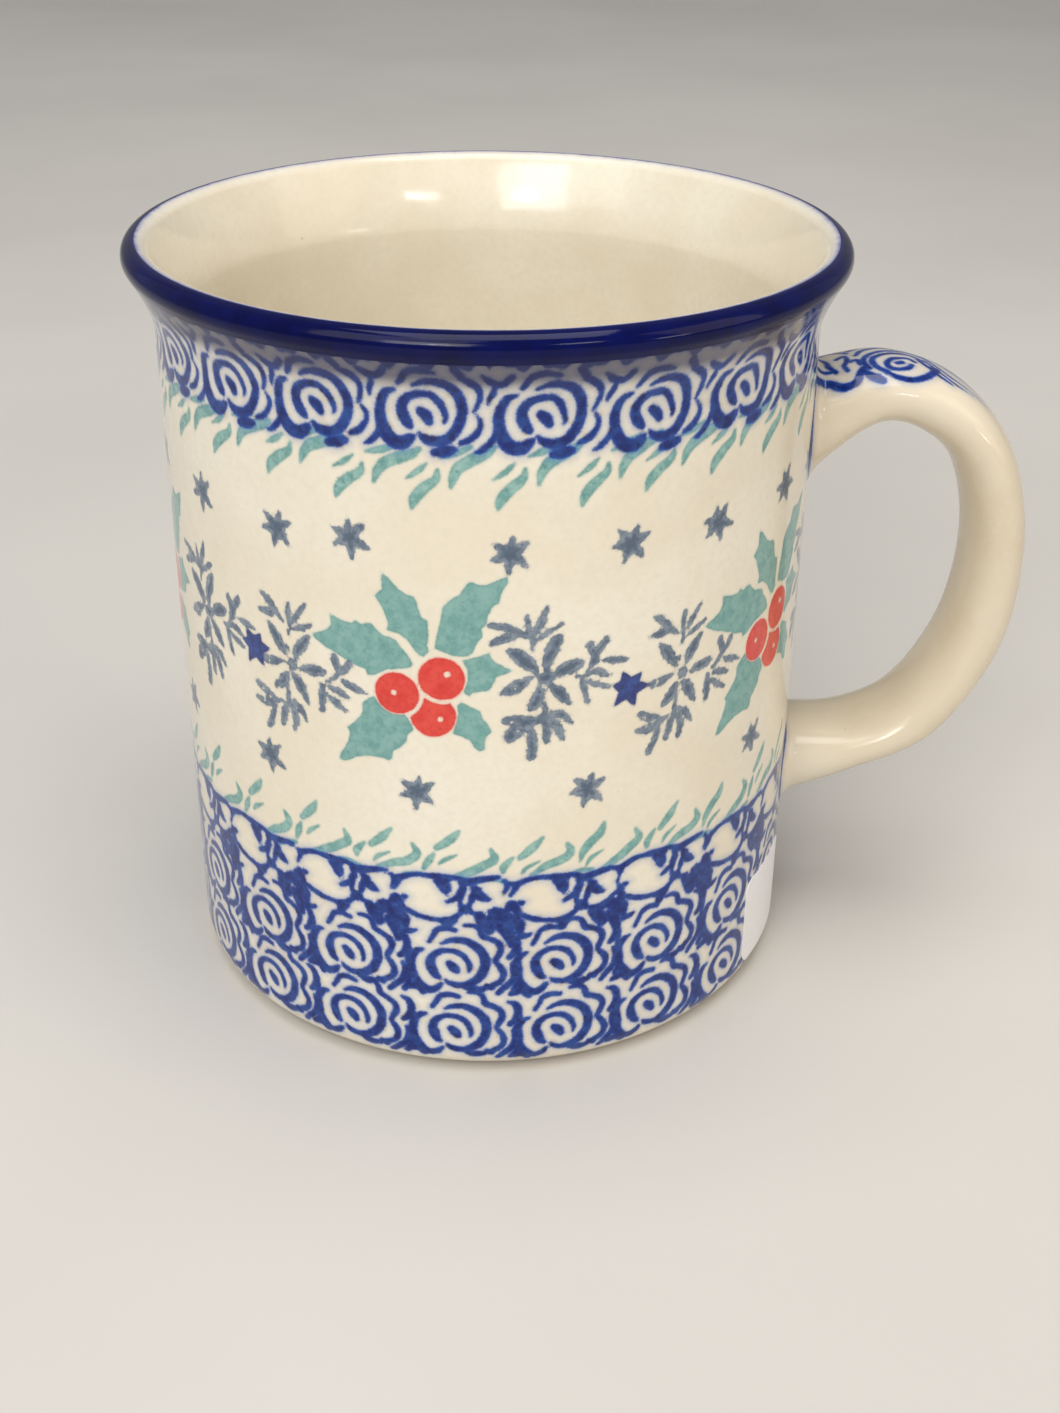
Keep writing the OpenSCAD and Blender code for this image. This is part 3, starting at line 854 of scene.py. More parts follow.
def wall_material(name, keys):
    n = Nodes(name)
    col = glaze_base(n)
    if "a_teal" in keys:
        flat = 0.55 if "a_red" in keys else 1.0
        col = wash_on(n, col, "a_teal", lin(70, 132, 132), lin(104, 157, 153), lin(146, 186, 179),
                      soft=0.15 if flat < 1 else 0.2, blots=flat)
    if "a_grey" in keys:
        col = wash_on(n, col, "a_grey", lin(60, 80, 106), lin(96, 113, 132), lin(134, 147, 160),
                      deep=0.85, lumps=0.28)
    if "a_navy" in keys:
        col = wash_on(n, col, "a_navy", lin(4, 24, 84), lin(10, 38, 112), lin(32, 66, 142))
    if "a_red" in keys:
        col = wash_on(n, col, "a_red", lin(200, 26, 24), lin(213, 38, 31), lin(222, 62, 50))
    if "a_cobalt" in keys:
        col = cobalt_on(n, col)
    if name.endswith("upper"):
        # painted shade: the wall just under the overhanging lip darkens towards a deep blue-violet over
        # its top few millimetres
        part = n.t.nodes.new("ShaderNodeSeparateXYZ")
        n.put(part.inputs[0], n.co)
        high = n.math("ADD", part.outputs[2], n.math("MULTIPLY", n.noise(4, 2, 0.5), 0.0008))
        col = n.mix(n.range(high, 0.0922, 0.0948, 0, 0.8), col, lin(24, 26, 74))
    return glaze_finish(n, col)


M_UPPER = wall_material("painted_glaze_upper", ("a_cobalt", "a_teal"))
M_PANEL = wall_material("painted_glaze_panel", ("a_teal", "a_grey", "a_navy", "a_red"))
M_LOWER = wall_material("painted_glaze_lower", ("a_cobalt", "a_teal"))


def rim_material():
    n = Nodes("cobalt_rim_glaze")
    tone = n.mix(n.range(n.noise(5, 3, 0.6), 0.3, 0.7), lin(1, 5, 58), lin(2, 11, 76))
    tone = n.mix(n.range(n.noise(0.8, 2, 0.6), 0.5, 0.8, 0, 0.4), tone, lin(1, 4, 40))
    d = ragged(n, "a_edge", 0.5, 0.05, 2.2, 0.08)
    col = n.mix(n.range(d, -0.35, 0.1, 0, 0.5), tone, lin(14, 40, 130))
    mat = glaze_finish(n, col, 0.012)
    n.bsdf.inputs["IOR"].default_value = 1.28
    return mat


def liner_material():
    n = Nodes("cream_glaze_inside")
    col = glaze_base(n, lin(236, 229, 211), lin(229, 219, 197))
    d = ragged(n, "a_edge", 0.5, 0.15, 2.5, 0.25)
    col = n.mix(n.ramp(n.range(d, -0.5, 1.8, 0, 1, "LINEAR"), [
        (0.0, 1.0), (0.16, 0.96), (0.30, 0.6), (0.45, 0.25), (0.7, 0.07), (1.0, 0.0)]),
        col, n.ramp(n.range(d, -0.4, 0.8, 0, 1, "LINEAR"), [
            (0.0, lin(14, 30, 112)), (0.5, lin(58, 84, 168)), (1.0, lin(120, 146, 204))]))
    return glaze_finish(n, col, 0.014)


def handle_material(name="handle_cream_glaze"):
    n = Nodes(name)
    # the handle's cream is darker and warmer than the wall's: partly the stoneware body showing through,
    # partly painted shade
    col = glaze_base(n, lin(225, 214, 192), lin(217, 203, 177))
    col = cobalt_on(n, col)
    blue = n.range(n.attr("a_haze"), 0.0, 1.0, 0.0, 0.55, "LINEAR")
    col = n.mix(n.math("MULTIPLY", blue, n.range(n.noise(2.5, 3, 0.6), 0.3, 0.7, 0.6, 1.0)), col,
                lin(96, 122, 190))
    return glaze_finish(n, col)


def clay_material():
    n = Nodes("bare_stoneware")
    grain = n.noise(0.5, 4, 0.65)
    cloud = n.noise(9, 3, 0.55)
    col = n.mix(n.range(cloud, 0.3, 0.7), lin(206, 186, 160), lin(190, 166, 138))
    col = n.mix(n.range(grain, 0.45, 0.8, 0, 0.5), col, lin(164, 140, 114))
    iron = n.specks(1.6, 0.35, 0.04, 0.13)
    col = n.mix(n.math("MULTIPLY", iron, 0.6), col, lin(104, 78, 56))
    n.put(n.bsdf.inputs["Base Color"], col)
    n.put(n.bsdf.inputs["Roughness"], n.range(grain, 0.3, 0.7, 0.72, 0.9, "LINEAR"))
    nb = n.bump(n.noise(0.35, 3, 0.7), 0.05)
    nb = n.bump(n.noise(1.4, 3, 0.6), 0.05, nb)
    n.put(n.bsdf.inputs["Normal"], nb)
    return n.mat


def paper_material():
    n = Nodes("label_paper")
    fibre = n.noise(0.5, 4, 0.7, 0.6)
    col = n.mix(n.range(fibre, 0.35, 0.7), lin(246, 245, 246), lin(236, 235, 238))
    col = n.mix(n.range(n.noise(6, 3, 0.5), 0.35, 0.7, 0, 0.5), col, lin(240, 238, 236))
    n.put(n.bsdf.inputs["Base Color"], col)
    n.put(n.bsdf.inputs["Roughness"], n.range(fibre, 0.3, 0.7, 0.42, 0.58, "LINEAR"))
    nb = n.bump(fibre, 0.012)
    nb = n.bump(n.noise(3.5, 2, 0.5), 0.05, nb)
    n.put(n.bsdf.inputs["Normal"], nb)
    return n.mat


def slip_material():
    return handle_material("slip_joint_glaze")


# --- the cup ----------------------------------------------------------------


def out_at(z, d=0.0):
    if z < BASE_ROUND:
        c = BODY_R - BASE_ROUND
        k = BASE_ROUND - d
        return c + math.sqrt(max(k * k - (BASE_ROUND - z) ** 2, 0))
    return flare_r(z, d)


def wall_ring(name, z0, z1, rows, cols, strips, mat, keys, node=(), start=None):
    """One closed shell of the glazed wall, from height z0 to z1."""
    out = list(start or [])
    out += [(out_at(z), z) for z in span(z0, z1, rows)]
    inner = [(out_at(z, GLAZE), z) for z in span(z1, max(z0, BASE_ROUND), 6 if z1 > FLARE_Z else 2)]
    if start:
        inner += arc(BODY_R - BASE_ROUND, BASE_ROUND, BASE_ROUND - GLAZE, 0, -STOP_DEG, 8)[1:]
    return turned(name, out + inner, cols, mat, len(out), strips, node,
                  paint={"rows": len(out), "keys": keys})


FINE = 1044
base_arc = arc(BODY_R - BASE_ROUND, BASE_ROUND, BASE_ROUND, -STOP_DEG, 0, 20)
wall_ring("wall_upper", 77.5, BAND_Z, 72, FINE, 4, M_UPPER, ("a_cobalt", "a_teal"),
          ("outside_glaze",))
wall_ring("wall_panel", 38.5, 77.5, 118, 801, 3, M_PANEL, ("a_teal", "a_grey", "a_navy", "a_red"),
          ("outside_glaze",))
wall_ring("wall_lower_a", 22.0, 38.5, 66, FINE, 4, M_LOWER, ("a_cobalt", "a_teal"),
          ("outside_glaze",))
wall_ring("wall_lower_b", BASE_ROUND + 0.24, 22.0, 58, FINE, 4, M_LOWER, ("a_cobalt", "a_teal"),
          ("outside_glaze",), start=base_arc)

# the cobalt band over the lip, up to the crest
zo = lip_joint_z(0, False)
rim_out = [(flare_r(z), z) for z in span(BAND_Z, zo, 8)]
rim_out += arc(LIP_CR, LIP_CZ, LIP_R, -OUT_DEG, 90, 26)[1:]
rim_in = arc(LIP_CR, LIP_CZ, LIP_R - GLAZE, 90, -OUT_DEG, 14)
rim_in += [(flare_r(z, GLAZE), z) for z in span(lip_joint_z(GLAZE, False), BAND_Z, 5)[1:]]
RIM_COLS = 720
rim = turned("rim_band", rim_out + rim_in, RIM_COLS, rim_material(), len(rim_out), 2,
             ("rim_band",))

# the cream glaze inside, from the crest down to the middle of the floor
zi = lip_joint_z(0, True)
top_in = arc(LIP_CR, LIP_CZ, LIP_R, 90, 180 - IN_DEG, 20)
in_flare = [(flare_r(z, 0, True), z) for z in span(zi, FLARE_Z, 22)[1:]]
in_wall = [(INNER_R, z) for z in span(FLARE_Z, FLOOR_H + FLOOR_ROUND, 24)[1:]]
in_floor = arc(INNER_R - FLOOR_ROUND, FLOOR_H + FLOOR_ROUND, FLOOR_ROUND, 0, -90, 16)[1:]
in_flat = [(r, FLOOR_H) for r in span(INNER_R - FLOOR_ROUND, 0, 14)[1:]]
seen_side = top_in + in_flare + in_wall + in_floor + in_flat
back = [(0.0, FLOOR_H - GLAZE)]
back += [(r, FLOOR_H - GLAZE) for r in span(0, INNER_R - FLOOR_ROUND, 4)[1:]]
back += arc(INNER_R - FLOOR_ROUND, FLOOR_H + FLOOR_ROUND, FLOOR_ROUND + GLAZE, -90, 0, 10)[1:]
back += [(INNER_R + GLAZE, z) for z in span(FLOOR_H + FLOOR_ROUND, FLARE_Z, 3)[1:]]
back += [(flare_r(z, GLAZE, True), z) for z in span(FLARE_Z, lip_joint_z(GLAZE, True), 8)[1:]]
back += arc(LIP_CR, LIP_CZ, LIP_R - GLAZE, 180 - IN_DEG, 90, 10)[1:]
liner = turned("inside_liner", seen_side + back, RIM_COLS, liner_material(), len(seen_side), 1,
               ("inside_glaze",))


def edge_attribute(ob, loop, cols, count, sign):
    """Distance along the surface from the crest, where the cobalt ends."""
    length, vals = 0.0, []
    pts = loop[:count]
    order = range(count) if sign > 0 else range(count - 1, -1, -1)
    run = {}
    last = None
    for i in order:
        if last is not None:
            length += math.hypot(pts[i][0] - last[0], pts[i][1] - last[1])
        run[i] = length
        last = pts[i]
    full = []
    for i, (r, z) in enumerate(loop):
        v = (run[i] if sign > 0 else -run[i]) if i < count else (3.0 if sign > 0 else -3.0)
        v = min(max(v, -3.0), 3.0)
        full.append(np.full(1 if r < 1e-6 else cols, v, dtype=np.float32))
    at = ob.data.attributes.new("a_edge", "FLOAT", "POINT")
    at.data.foreach_set("value", np.concatenate(full))


edge_attribute(liner, seen_side + back, RIM_COLS, len(seen_side), 1)
edge_attribute(rim, rim_out + rim_in, RIM_COLS, len(rim_out), -1)

# the clay itself: it shows at the foot and in the well under the base
foot = [(0.0, WELL_DEPTH)] + [(r, WELL_DEPTH) for r in span(0, 29.4, 12)[1:]]
foot += arc(29.4, WELL_DEPTH - 0.8, 0.8, 90, 25, 5)[1:]
foot += arc(31.4, 0.55, 0.55, 205, 270, 6)
foot += [(r, 0.0) for r in span(31.4, BODY_R - BASE_ROUND, 6)[1:]]
foot += arc(BODY_R - BASE_ROUND, BASE_ROUND, BASE_ROUND, -90, -STOP_DEG, 8)[1:]
clay = foot + arc(BODY_R - BASE_ROUND, BASE_ROUND, BASE_ROUND - GLAZE, -STOP_DEG, 0, 8)
clay += [(BODY_R - GLAZE, z) for z in span(BASE_ROUND, FLARE_Z, 3)[1:]]
clay += [(flare_r(z, GLAZE), z) for z in span(FLARE_Z, lip_joint_z(GLAZE, False), 8)[1:]]
clay += arc(LIP_CR, LIP_CZ, LIP_R - GLAZE, -OUT_DEG, 180 - IN_DEG, 22)[1:]
clay += [(flare_r(z, GLAZE, True), z) for z in span(lip_joint_z(GLAZE, True), FLARE_Z, 8)[1:]]
clay += [(INNER_R + GLAZE, z) for z in span(FLARE_Z, FLOOR_H + FLOOR_ROUND, 3)[1:]]
clay += arc(INNER_R - FLOOR_ROUND, FLOOR_H + FLOOR_ROUND, FLOOR_ROUND + GLAZE, 0, -90, 10)[1:]
clay += [(r, FLOOR_H - GLAZE) for r in span(INNER_R - FLOOR_ROUND, 0, 3)[1:]]
turned("clay_cup", clay, 360, clay_material(), None, 1, ("cup_body",), sharp=50)

# --- the handle ---------------------------------------------------------------
OUT_ST = [(-0.08, 0.97), (0, 0.98), (0.33, 1.00), (0.66, 0.94), (0.90, 0.80), (1.00, 0.59),
          (0.95, 0.36), (0.69, 0.15), (0.31, 0.06), (0, 0), (-0.08, -0.02)]
IN_ST = [(-0.08, 0.72), (0, 0.76), (0.28, 0.87), (0.52, 0.84), (0.67, 0.75), (0.74, 0.59),
         (0.69, 0.40), (0.51, 0.24), (0.28, 0.18), (0, 0.18), (-0.08, 0.18)]
H_OUT, H_LOW, H_RISE, STRAP_W, STRAP_FLARE, SQUARE = 30.5, 19.5, 63.5, 15.0, 1.12, 0.9
FILLET = 1.7


def along(points, t):
    """The curve through the stations, at parameters t."""
    p = np.array(points, float)
    i = np.minimum(t.astype(int), len(p) - 2)
    u = (t - i)[:, None]
    a, b = p[np.maximum(i - 1, 0)], p[i]
    c, d = p[i + 1], p[np.minimum(i + 2, len(p) - 1)]
    q = 0.5 * (2 * b + (c - a) * u + (2 * a - 5 * b + 4 * c - d) * u * u
               + (3 * b - 3 * c + d - a) * u ** 3)
    return np.column_stack([BODY_R + H_OUT * q[:, 0], H_LOW + H_RISE * q[:, 1]])


def strap_points(t, ang):
    """Points of the strap: t has one value for each point, and so has ang."""
    o, i = along(OUT_ST, t), along(IN_ST, t)
    m, h = (o + i) / 2, (o - i) / 2
    e = np.minimum(t, len(OUT_ST) - 1 - t)
    w = STRAP_W / 2 * (1 + (STRAP_FLARE - 1) * np.exp(-(e / 1.4) ** 2))
    c = np.sign(np.cos(ang)) * np.abs(np.cos(ang)) ** SQUARE
    s = np.sign(np.sin(ang)) * np.abs(np.sin(ang)) ** SQUARE
    return np.column_stack([m[:, 0] + h[:, 0] * c, w * s, m[:, 1] + h[:, 1] * c])


H_COLS, H_ROWS, F_ROWS = 168, 300, 12
LAST = len(OUT_ST) - 1
tt = np.linspace(0, LAST, 1601)
# angles round the strap, spread evenly along its outline
fine = np.linspace(0, 2 * math.pi, 2001)
probe = strap_points(np.full(2001, 4.0), fine)
run = np.concatenate([[0], np.cumsum(np.linalg.norm(np.diff(probe, axis=0), axis=1))])
ANG = np.interp(np.arange(H_COLS) / H_COLS * run[-1], run, fine)

T_WALL = np.zeros((2, H_COLS))      # where each strand leaves the wall
T_FIL = np.zeros((2, H_COLS))       # and where its fillet ends
for j in range(H_COLS):
    pj = strap_points(tt, np.full(len(tt), ANG[j]))
    off = np.hypot(pj[:, 0], pj[:, 1]) - BODY_R
    n1 = int(np.argmax(off > FILLET * 1.6)) + 1
    n2 = len(tt) - int(np.argmax(off[::-1] > FILLET * 1.6)) - 1
    a, b = off[:n1], tt[:n1]
    T_WALL[0, j], T_FIL[0, j] = np.interp([0, FILLET], a, b)
    a, b = off[n2:][::-1], tt[n2:][::-1]
    T_WALL[1, j], T_FIL[1, j] = np.interp([0, FILLET], a, b)

mid_line = (along(OUT_ST, tt) + along(IN_ST, tt)) / 2
mid_run = np.concatenate([[0], np.cumsum(np.linalg.norm(np.diff(mid_line, axis=0), axis=1))])


def off_wall(t_row):
    return strap_points(t_row, ANG)


def fillet_rows(side):
    """Rows of the concave fillet, from the wall out to the strap."""
    rows = []
    for phi in [84] + list(np.linspace(80, 0, F_ROWS)):
        d = FILLET * (1 - math.sin(rad(phi)))
        g = FILLET * (1 - math.cos(rad(phi)))
        if phi == 84:
            d, g = -0.12, g + 0.02
        t_row = T_WALL[side] + (T_FIL[side] - T_WALL[side]) * max(d, 0) / FILLET
        p = off_wall(t_row)
        tan = np.roll(p, -1, axis=0) - np.roll(p, 1, axis=0)
        tan /= np.linalg.norm(tan, axis=1)[:, None]
        wall_n = p * [1, 1, 0]
        wall_n /= np.linalg.norm(wall_n, axis=1)[:, None]
        out = np.cross(tan, wall_n)
        out /= np.linalg.norm(out, axis=1)[:, None]
        if np.sum(out * (p - p.mean(axis=0))) < 0:
            out = -out
        p = p + out * g
        r = np.hypot(p[:, 0], p[:, 1])
        p[:, :2] *= ((BODY_R + d) / r)[:, None]
        rows.append(p)
    return rows


top_fillet, low_fillet = fillet_rows(0), fillet_rows(1)
w0 = np.interp(T_FIL[0].mean(), tt, mid_run)
w1 = np.interp(T_FIL[1].mean(), tt, mid_run)
share = np.interp(np.linspace(w0, w1, H_ROWS), mid_run, tt)
share = (share - share[0]) / (share[-1] - share[0])
strap_rows = [off_wall(T_FIL[0] + (T_FIL[1] - T_FIL[0]) * f) for f in share]
whole = np.array(top_fillet[:-1] + strap_rows + low_fillet[::-1][1:])
n_fil = len(top_fillet) - 1

# normals of the whole surface, so its pieces meet without a seam
d_row = np.gradient(whole, axis=0)
d_col = np.roll(whole, -1, axis=1) - np.roll(whole, 1, axis=1)
normal = np.cross(d_col, d_row)
normal /= np.linalg.norm(normal, axis=2)[:, :, None]
mean_out = whole - whole.mean(axis=1)[:, None, :]
if np.sum(normal * mean_out) < 0:
    normal = -normal
    TURN = True
else:
    TURN = False

# places on the strap: length along its outer face from the wall, and across it
outer_line = along(OUT_ST, tt)
outer_run = np.concatenate([[0], np.cumsum(np.linalg.norm(np.diff(outer_line, axis=0), axis=1))])
start_run = np.interp(1.0, tt, outer_run)
t_whole = np.array([T_FIL[0]] * n_fil + [T_FIL[0] + (T_FIL[1] - T_FIL[0]) * f for f in share]
                   + [T_FIL[1]] * n_fil)
A_LEN = np.interp(t_whole, tt, outer_run) - start_run
for i in range(n_fil):
    A_LEN[i] = np.hypot(whole[i][:, 0], whole[i][:, 1]) - BODY_R
face_up = np.cos(ANG)[None, :] * np.ones((len(whole), 1))

# places across the strap, measured round its surface from the middle of its outer face
round_ = np.linalg.norm(np.roll(whole, -1, axis=1) - whole, axis=2)
round_ = np.concatenate([np.zeros((len(whole), 1)), np.cumsum(round_, axis=1)], axis=1)
ACROSS = np.where(round_[:, :-1] > round_[:, -1:] / 2, round_[:, :-1] - round_[:, -1:], round_[:, :-1])
ACROSS = ACROSS * np.sign(whole[:, 10, 1])[:, None]

# the end of the stamped border, run on over the top of the strap: a rose in rings and
# petals beside the wall, with its heavy edge to the front and lines fading down the back
HANDLE_ROSE = Motif((0, 0), 50, [
    [(0, 288, 22), (34, 262, 25), (85, 280, 26), (150, 322, 26), (212, 326, 25), (256, 300, 25),
     (281, 238, 22), (304, 192, 17)],
    [(305, 226, 20), (340, 270, 25), (384, 304, 31), (420, 326, 22)],
    [(452, 264, 15), (510, 294, 17), (590, 304, 19), (668, 280, 20), (748, 204, 22), (816, 88, 20)],
    [(704, 42, 15), (756, 100, 17), (816, 84, 15)],
    [(528, 148, 16), (564, 126, 18)],
    [(630, 136, 14), (594, 190, 15), (522, 220, 15), (470, 206, 16), (458, 160, 16), (494, 98, 15),
     (546, 66, 13), (618, 42, 13), (656, 76, 12)],
    [(456, 250, 13), (402, 212, 16), (370, 152, 17), (380, 82, 15), (448, 28, 13), (540, -18, 12),
     (624, -38, 12), (694, -16, 13), (716, 34, 10)],
    [(342, 206, 15), (314, 126, 15), (342, 46, 14), (418, -20, 12), (496, -60, 12), (604, -96, 12),
     (706, -92, 12), (784, -40, 10)],
    [(282, 10, 10), (330, -70, 13), (420, -124, 15), (560, -164, 16), (700, -170, 15), (808, -118, 12)],
    [(250, -110, 14), (330, -176, 18), (450, -226, 22), (590, -252, 24), (720, -246, 20)],
    [(50, -20, 10), (84, 46, 13), (96, 120, 14), (130, 186, 13)],
    [(20, 150, 15), (45, 166, 13), (96, 176, 12)],
    [(154, 26, 11), (210, -8, 11), (216, 74, 13), (190, 134, 13), (204, 196, 11)],
    [(234, 96, 10), (274, 82, 11), (290, 146, 11)],
    [(40, -90, 12), (110, -140, 15), (190, -118, 14), (236, -60, 10)],
    [(60, -214, 14), (140, -250, 18), (214, -220, 16)],
    [(688, 20, 10), (744, 96, 10), (816, 170, 10), (910, 210, 6)],
    [(740, -6, 9), (834, 114, 8), (944, 180, 7), (1080, 182, 5)],
    [(740, -104, 10), (820, 24, 9), (920, 110, 8), (1070, 140, 6), (1224, 140, 4)],
    [(800, -150, 12), (900, -60, 10), (1010, 10, 8), (1160, 40, 6), (1300, 40, 4)],
    [(830, -220, 14), (960, -160, 12), (1100, -110, 9), (1240, -90, 6)],
])


def paint_strap(a_len, across, up):
    a, b = a_len.ravel(), across.ravel()
    acc = np.full(a.shape, FAR)
    m, x, y = local(a, b, 0.0, 0.0, HANDLE_ROSE.half, 0.0, 1.0)
    acc[m] = np.minimum(acc[m], HANDLE_ROSE.sdf(x, y) - 0.13)
    acc = acc.reshape(a_len.shape)
    # the last lines run out of colour
    acc = acc + np.clip((a_len - 17.5) / 9.0, 0, 1) * 0.42
    acc = np.where(up < -0.3, FAR, acc)
    return np.clip(acc, -FAR, FAR)


cob = paint_strap(A_LEN, ACROSS, face_up)
edge_len = np.zeros(whole.shape[:2])
for i in range(n_fil - 1, -1, -1):
    edge_len[i] = 0
for rows_, step in ((range(1, n_fil + 1), -1), (range(len(whole) - 2, len(whole) - n_fil - 2, -1), 1)):
    acc = np.zeros(H_COLS)
    for i in rows_:
        acc = acc + np.linalg.norm(whole[i] - whole[i + step], axis=1)
        edge_len[i] = acc
a_of = np.arange(H_COLS) / H_COLS * 2 * math.pi
for sl, ph in ((slice(0, n_fil + 1), 0.4), (slice(len(whole) - n_fil - 1, len(whole)), 2.1)):
    width = 0.62 + 0.22 * np.sin(a_of * 3 + ph) + 0.12 * np.sin(a_of * 7 + ph * 2)
    line = edge_len[sl] - width[None, :]
    cob[sl] = np.minimum(cob[sl], line)
haze = np.clip(1 - np.abs(A_LEN - 20) / 9, 0, 1) * np.clip(face_up * 1.5, 0, 1) \
    * np.clip((ACROSS + 0.3 * (A_LEN - 12)) / 3.0, 0, 1)


def strap_piece(name, lo, hi, mat, nodes):
    """Rows lo to hi of the whole strap as one closed solid."""
    rows = whole[lo:hi]
    m = len(rows)
    caps = [rows[0].mean(axis=0), rows[-1].mean(axis=0)]
    if name != "strap_handle":
        # the end against the wall closes a little below its surface
        k = 0 if lo == 0 else 1
        r = math.hypot(caps[k][0], caps[k][1])
        caps[k][:2] *= (BODY_R - 0.15) / r
    verts = np.vstack([rows.reshape(-1, 3), caps])
    side = grid_faces(m, H_COLS, flip=TURN)
    j = np.arange(H_COLS)
    k = (j + 1) % H_COLS
    c0, c1 = len(verts) - 2, len(verts) - 1
    first = np.column_stack([k, j, np.full(H_COLS, c0)])
    end = np.column_stack([(m - 1) * H_COLS + j, (m - 1) * H_COLS + k, np.full(H_COLS, c1)])
    if TURN:
        first, end = first[:, ::-1], end[:, ::-1]
    ob = new_object(name, verts, [side, first, end], mat, 0, nodes)
    me = ob.data
    vn = np.vstack([normal[lo:hi].reshape(-1, 3), [[0, 0, 1], [0, 0, 1]]])
    loop_v = np.zeros(len(me.loops), dtype=np.int32)
    me.loops.foreach_get("vertex_index", loop_v)
    ln = vn[loop_v]
    pn = np.zeros(len(me.polygons) * 3, dtype=np.float32)
    me.polygons.foreach_get("normal", pn)
    pn = pn.reshape(-1, 3)
    n_side = len(side)
    ln[n_side * 4:] = np.repeat(pn[n_side:], 3, axis=0)
    me.normals_split_custom_set([tuple(v) for v in ln])
    uv = me.uv_layers.new(name="OFBake")
    u = 0.01 + 0.9 * np.repeat((np.arange(m) / (m - 1))[:, None], H_COLS, 1)
    v = 0.01 + 0.98 * np.repeat((np.arange(H_COLS) / H_COLS)[None, :], m, 0)
    i_, j_ = np.meshgrid(np.arange(m - 1), np.arange(H_COLS), indexing="ij")
    corner = [(i_, j_, 0), (i_, j_, 1), (i_ + 1, j_, 1), (i_ + 1, j_, 0)]
    uvq = np.stack([np.stack([0.01 + 0.9 * ci / (m - 1), 0.01 + 0.98 * (cj + ck) / H_COLS], -1)
                    for ci, cj, ck in corner], axis=2).reshape(-1, 4, 2)
    if TURN:
        uvq = uvq[:, ::-1]
    caps_uv = []
    for n_cap in range(2):
        ring_uv = np.column_stack([0.955 + 0.03 * np.cos(a_of), 0.2 + 0.5 * n_cap + 0.1 * np.sin(a_of)])
        tri = np.stack([ring_uv[(k if n_cap == 0 else j)], ring_uv[(j if n_cap == 0 else k)],
                        np.repeat([[0.955, 0.2 + 0.5 * n_cap]], H_COLS, 0)], axis=1)
        caps_uv.append(tri[:, ::-1] if TURN else tri)
    uv.data.foreach_set("uv", np.concatenate([uvq.reshape(-1)] + [c.reshape(-1) for c in caps_uv])
                        .astype(np.float32))
    for key, val in (("a_cobalt", cob), ("a_haze", haze)):
        at = me.attributes.new(key, "FLOAT", "POINT")
        fill = FAR if key == "a_cobalt" else 0.0
        at.data.foreach_set("value", np.concatenate([val[lo:hi].ravel(), [fill, fill]]).astype(np.float32))
    return ob


M_HANDLE = handle_material()
M_SLIP = slip_material()
strap_piece("strap_handle", n_fil, len(whole) - n_fil, M_HANDLE, ("handle", "handle_glaze"))
strap_piece("upper_joint", 0, n_fil + 1, M_SLIP, ("upper_handle_joint",))
strap_piece("lower_joint", len(whole) - n_fil - 1, len(whole), M_SLIP, ("lower_handle_joint",))

# --- the blank paper label ------------------------------------------------------
LBL_W, LBL_H, LBL_Z, LBL_DEG, LBL_T, LBL_C = 14.6, 13.6, 3.4, -24.0, 0.15, 2.0


def label():
    """A thin curved sheet with rounded corners, one corner just lifting."""
    n, m = 61, 57
    x = np.linspace(-1, 1, n)
    y = np.linspace(-1, 1, m)
    X, Y = np.meshgrid(x, y)
    # the square grid drawn in to the rounded outline
    px, py = X * LBL_W / 2, Y * LBL_H / 2
    cx, cy = LBL_W / 2 - LBL_C, LBL_H / 2 - LBL_C
    ox, oy = np.abs(px) - cx, np.abs(py) - cy
    near = (ox > 0) & (oy > 0)
    big = np.maximum(ox, oy)
    dist = np.hypot(ox, oy) + 1e-9
    f = np.where(near, big / dist, 1.0)
    px = np.where(near, np.sign(px) * (cx + ox * f), px)
    py = np.where(near, np.sign(py) * (cy + oy * f), py)
    lift = 0.10 * np.clip(1 - np.hypot(px + LBL_W / 2, py + LBL_H / 2) / 4.5, 0, 1) ** 1.5
    lift += 0.012 * np.sin(px * 0.9 + 1) * np.cos(py * 0.7)
    th = rad(LBL_DEG) + px / BODY_R
    z = LBL_Z + LBL_H / 2 + py
    base = np.array([out_at(v) for v in z.ravel()]).reshape(z.shape)
    base = np.maximum(base, BODY_R - 0.25)
    low = base + 0.01 + np.maximum(lift, 0) * 0.8
    top = low + LBL_T * 0.85
    grids = [np.stack([r * np.cos(th), r * np.sin(th), z], -1).reshape(-1, 3) for r in (top, low)]
    verts = np.vstack(grids)
    outer = grid_faces(m, n, closed=False)
    inner = grid_faces(m, n, base=n * m, closed=False, flip=True)
    rim_ = list(range(0, n)) + [i * n + n - 1 for i in range(1, m)] \
        + [(m - 1) * n + i for i in range(n - 2, -1, -1)] + [i * n for i in range(m - 2, 0, -1)]
    a = np.array(rim_)
    b = np.roll(a, -1)
    sides = np.column_stack([b, a, a + n * m, b + n * m])
    ob = new_object("shelf_label_blank", verts, [outer, inner, sides], paper_material(), 45,
                    ("shelf_label",))
    uv = ob.data.uv_layers.new(name="OFBake")
    co = np.column_stack([(px.ravel() / LBL_W + 0.5), (py.ravel() / LBL_H + 0.5)])
    both = np.vstack([co * [0.47, 0.9] + [0.015, 0.05], co * [0.47, 0.9] + [0.515, 0.05]])
    loop_v = np.zeros(len(ob.data.loops), dtype=np.int32)
    ob.data.loops.foreach_get("vertex_index", loop_v)
    uvl = both[loop_v]
    n0 = (len(outer) + len(inner)) * 4
    uvl[n0:] = np.column_stack([0.01 + 0.98 * np.tile([1, 0, 0, 1], len(sides)),
                                0.97 + 0.02 * np.tile([0, 0, 1, 1], len(sides))])
    uv.data.foreach_set("uv", uvl.ravel().astype(np.float32))
    return ob


label()

# --- floor, lights and camera -----------------------------------------------------


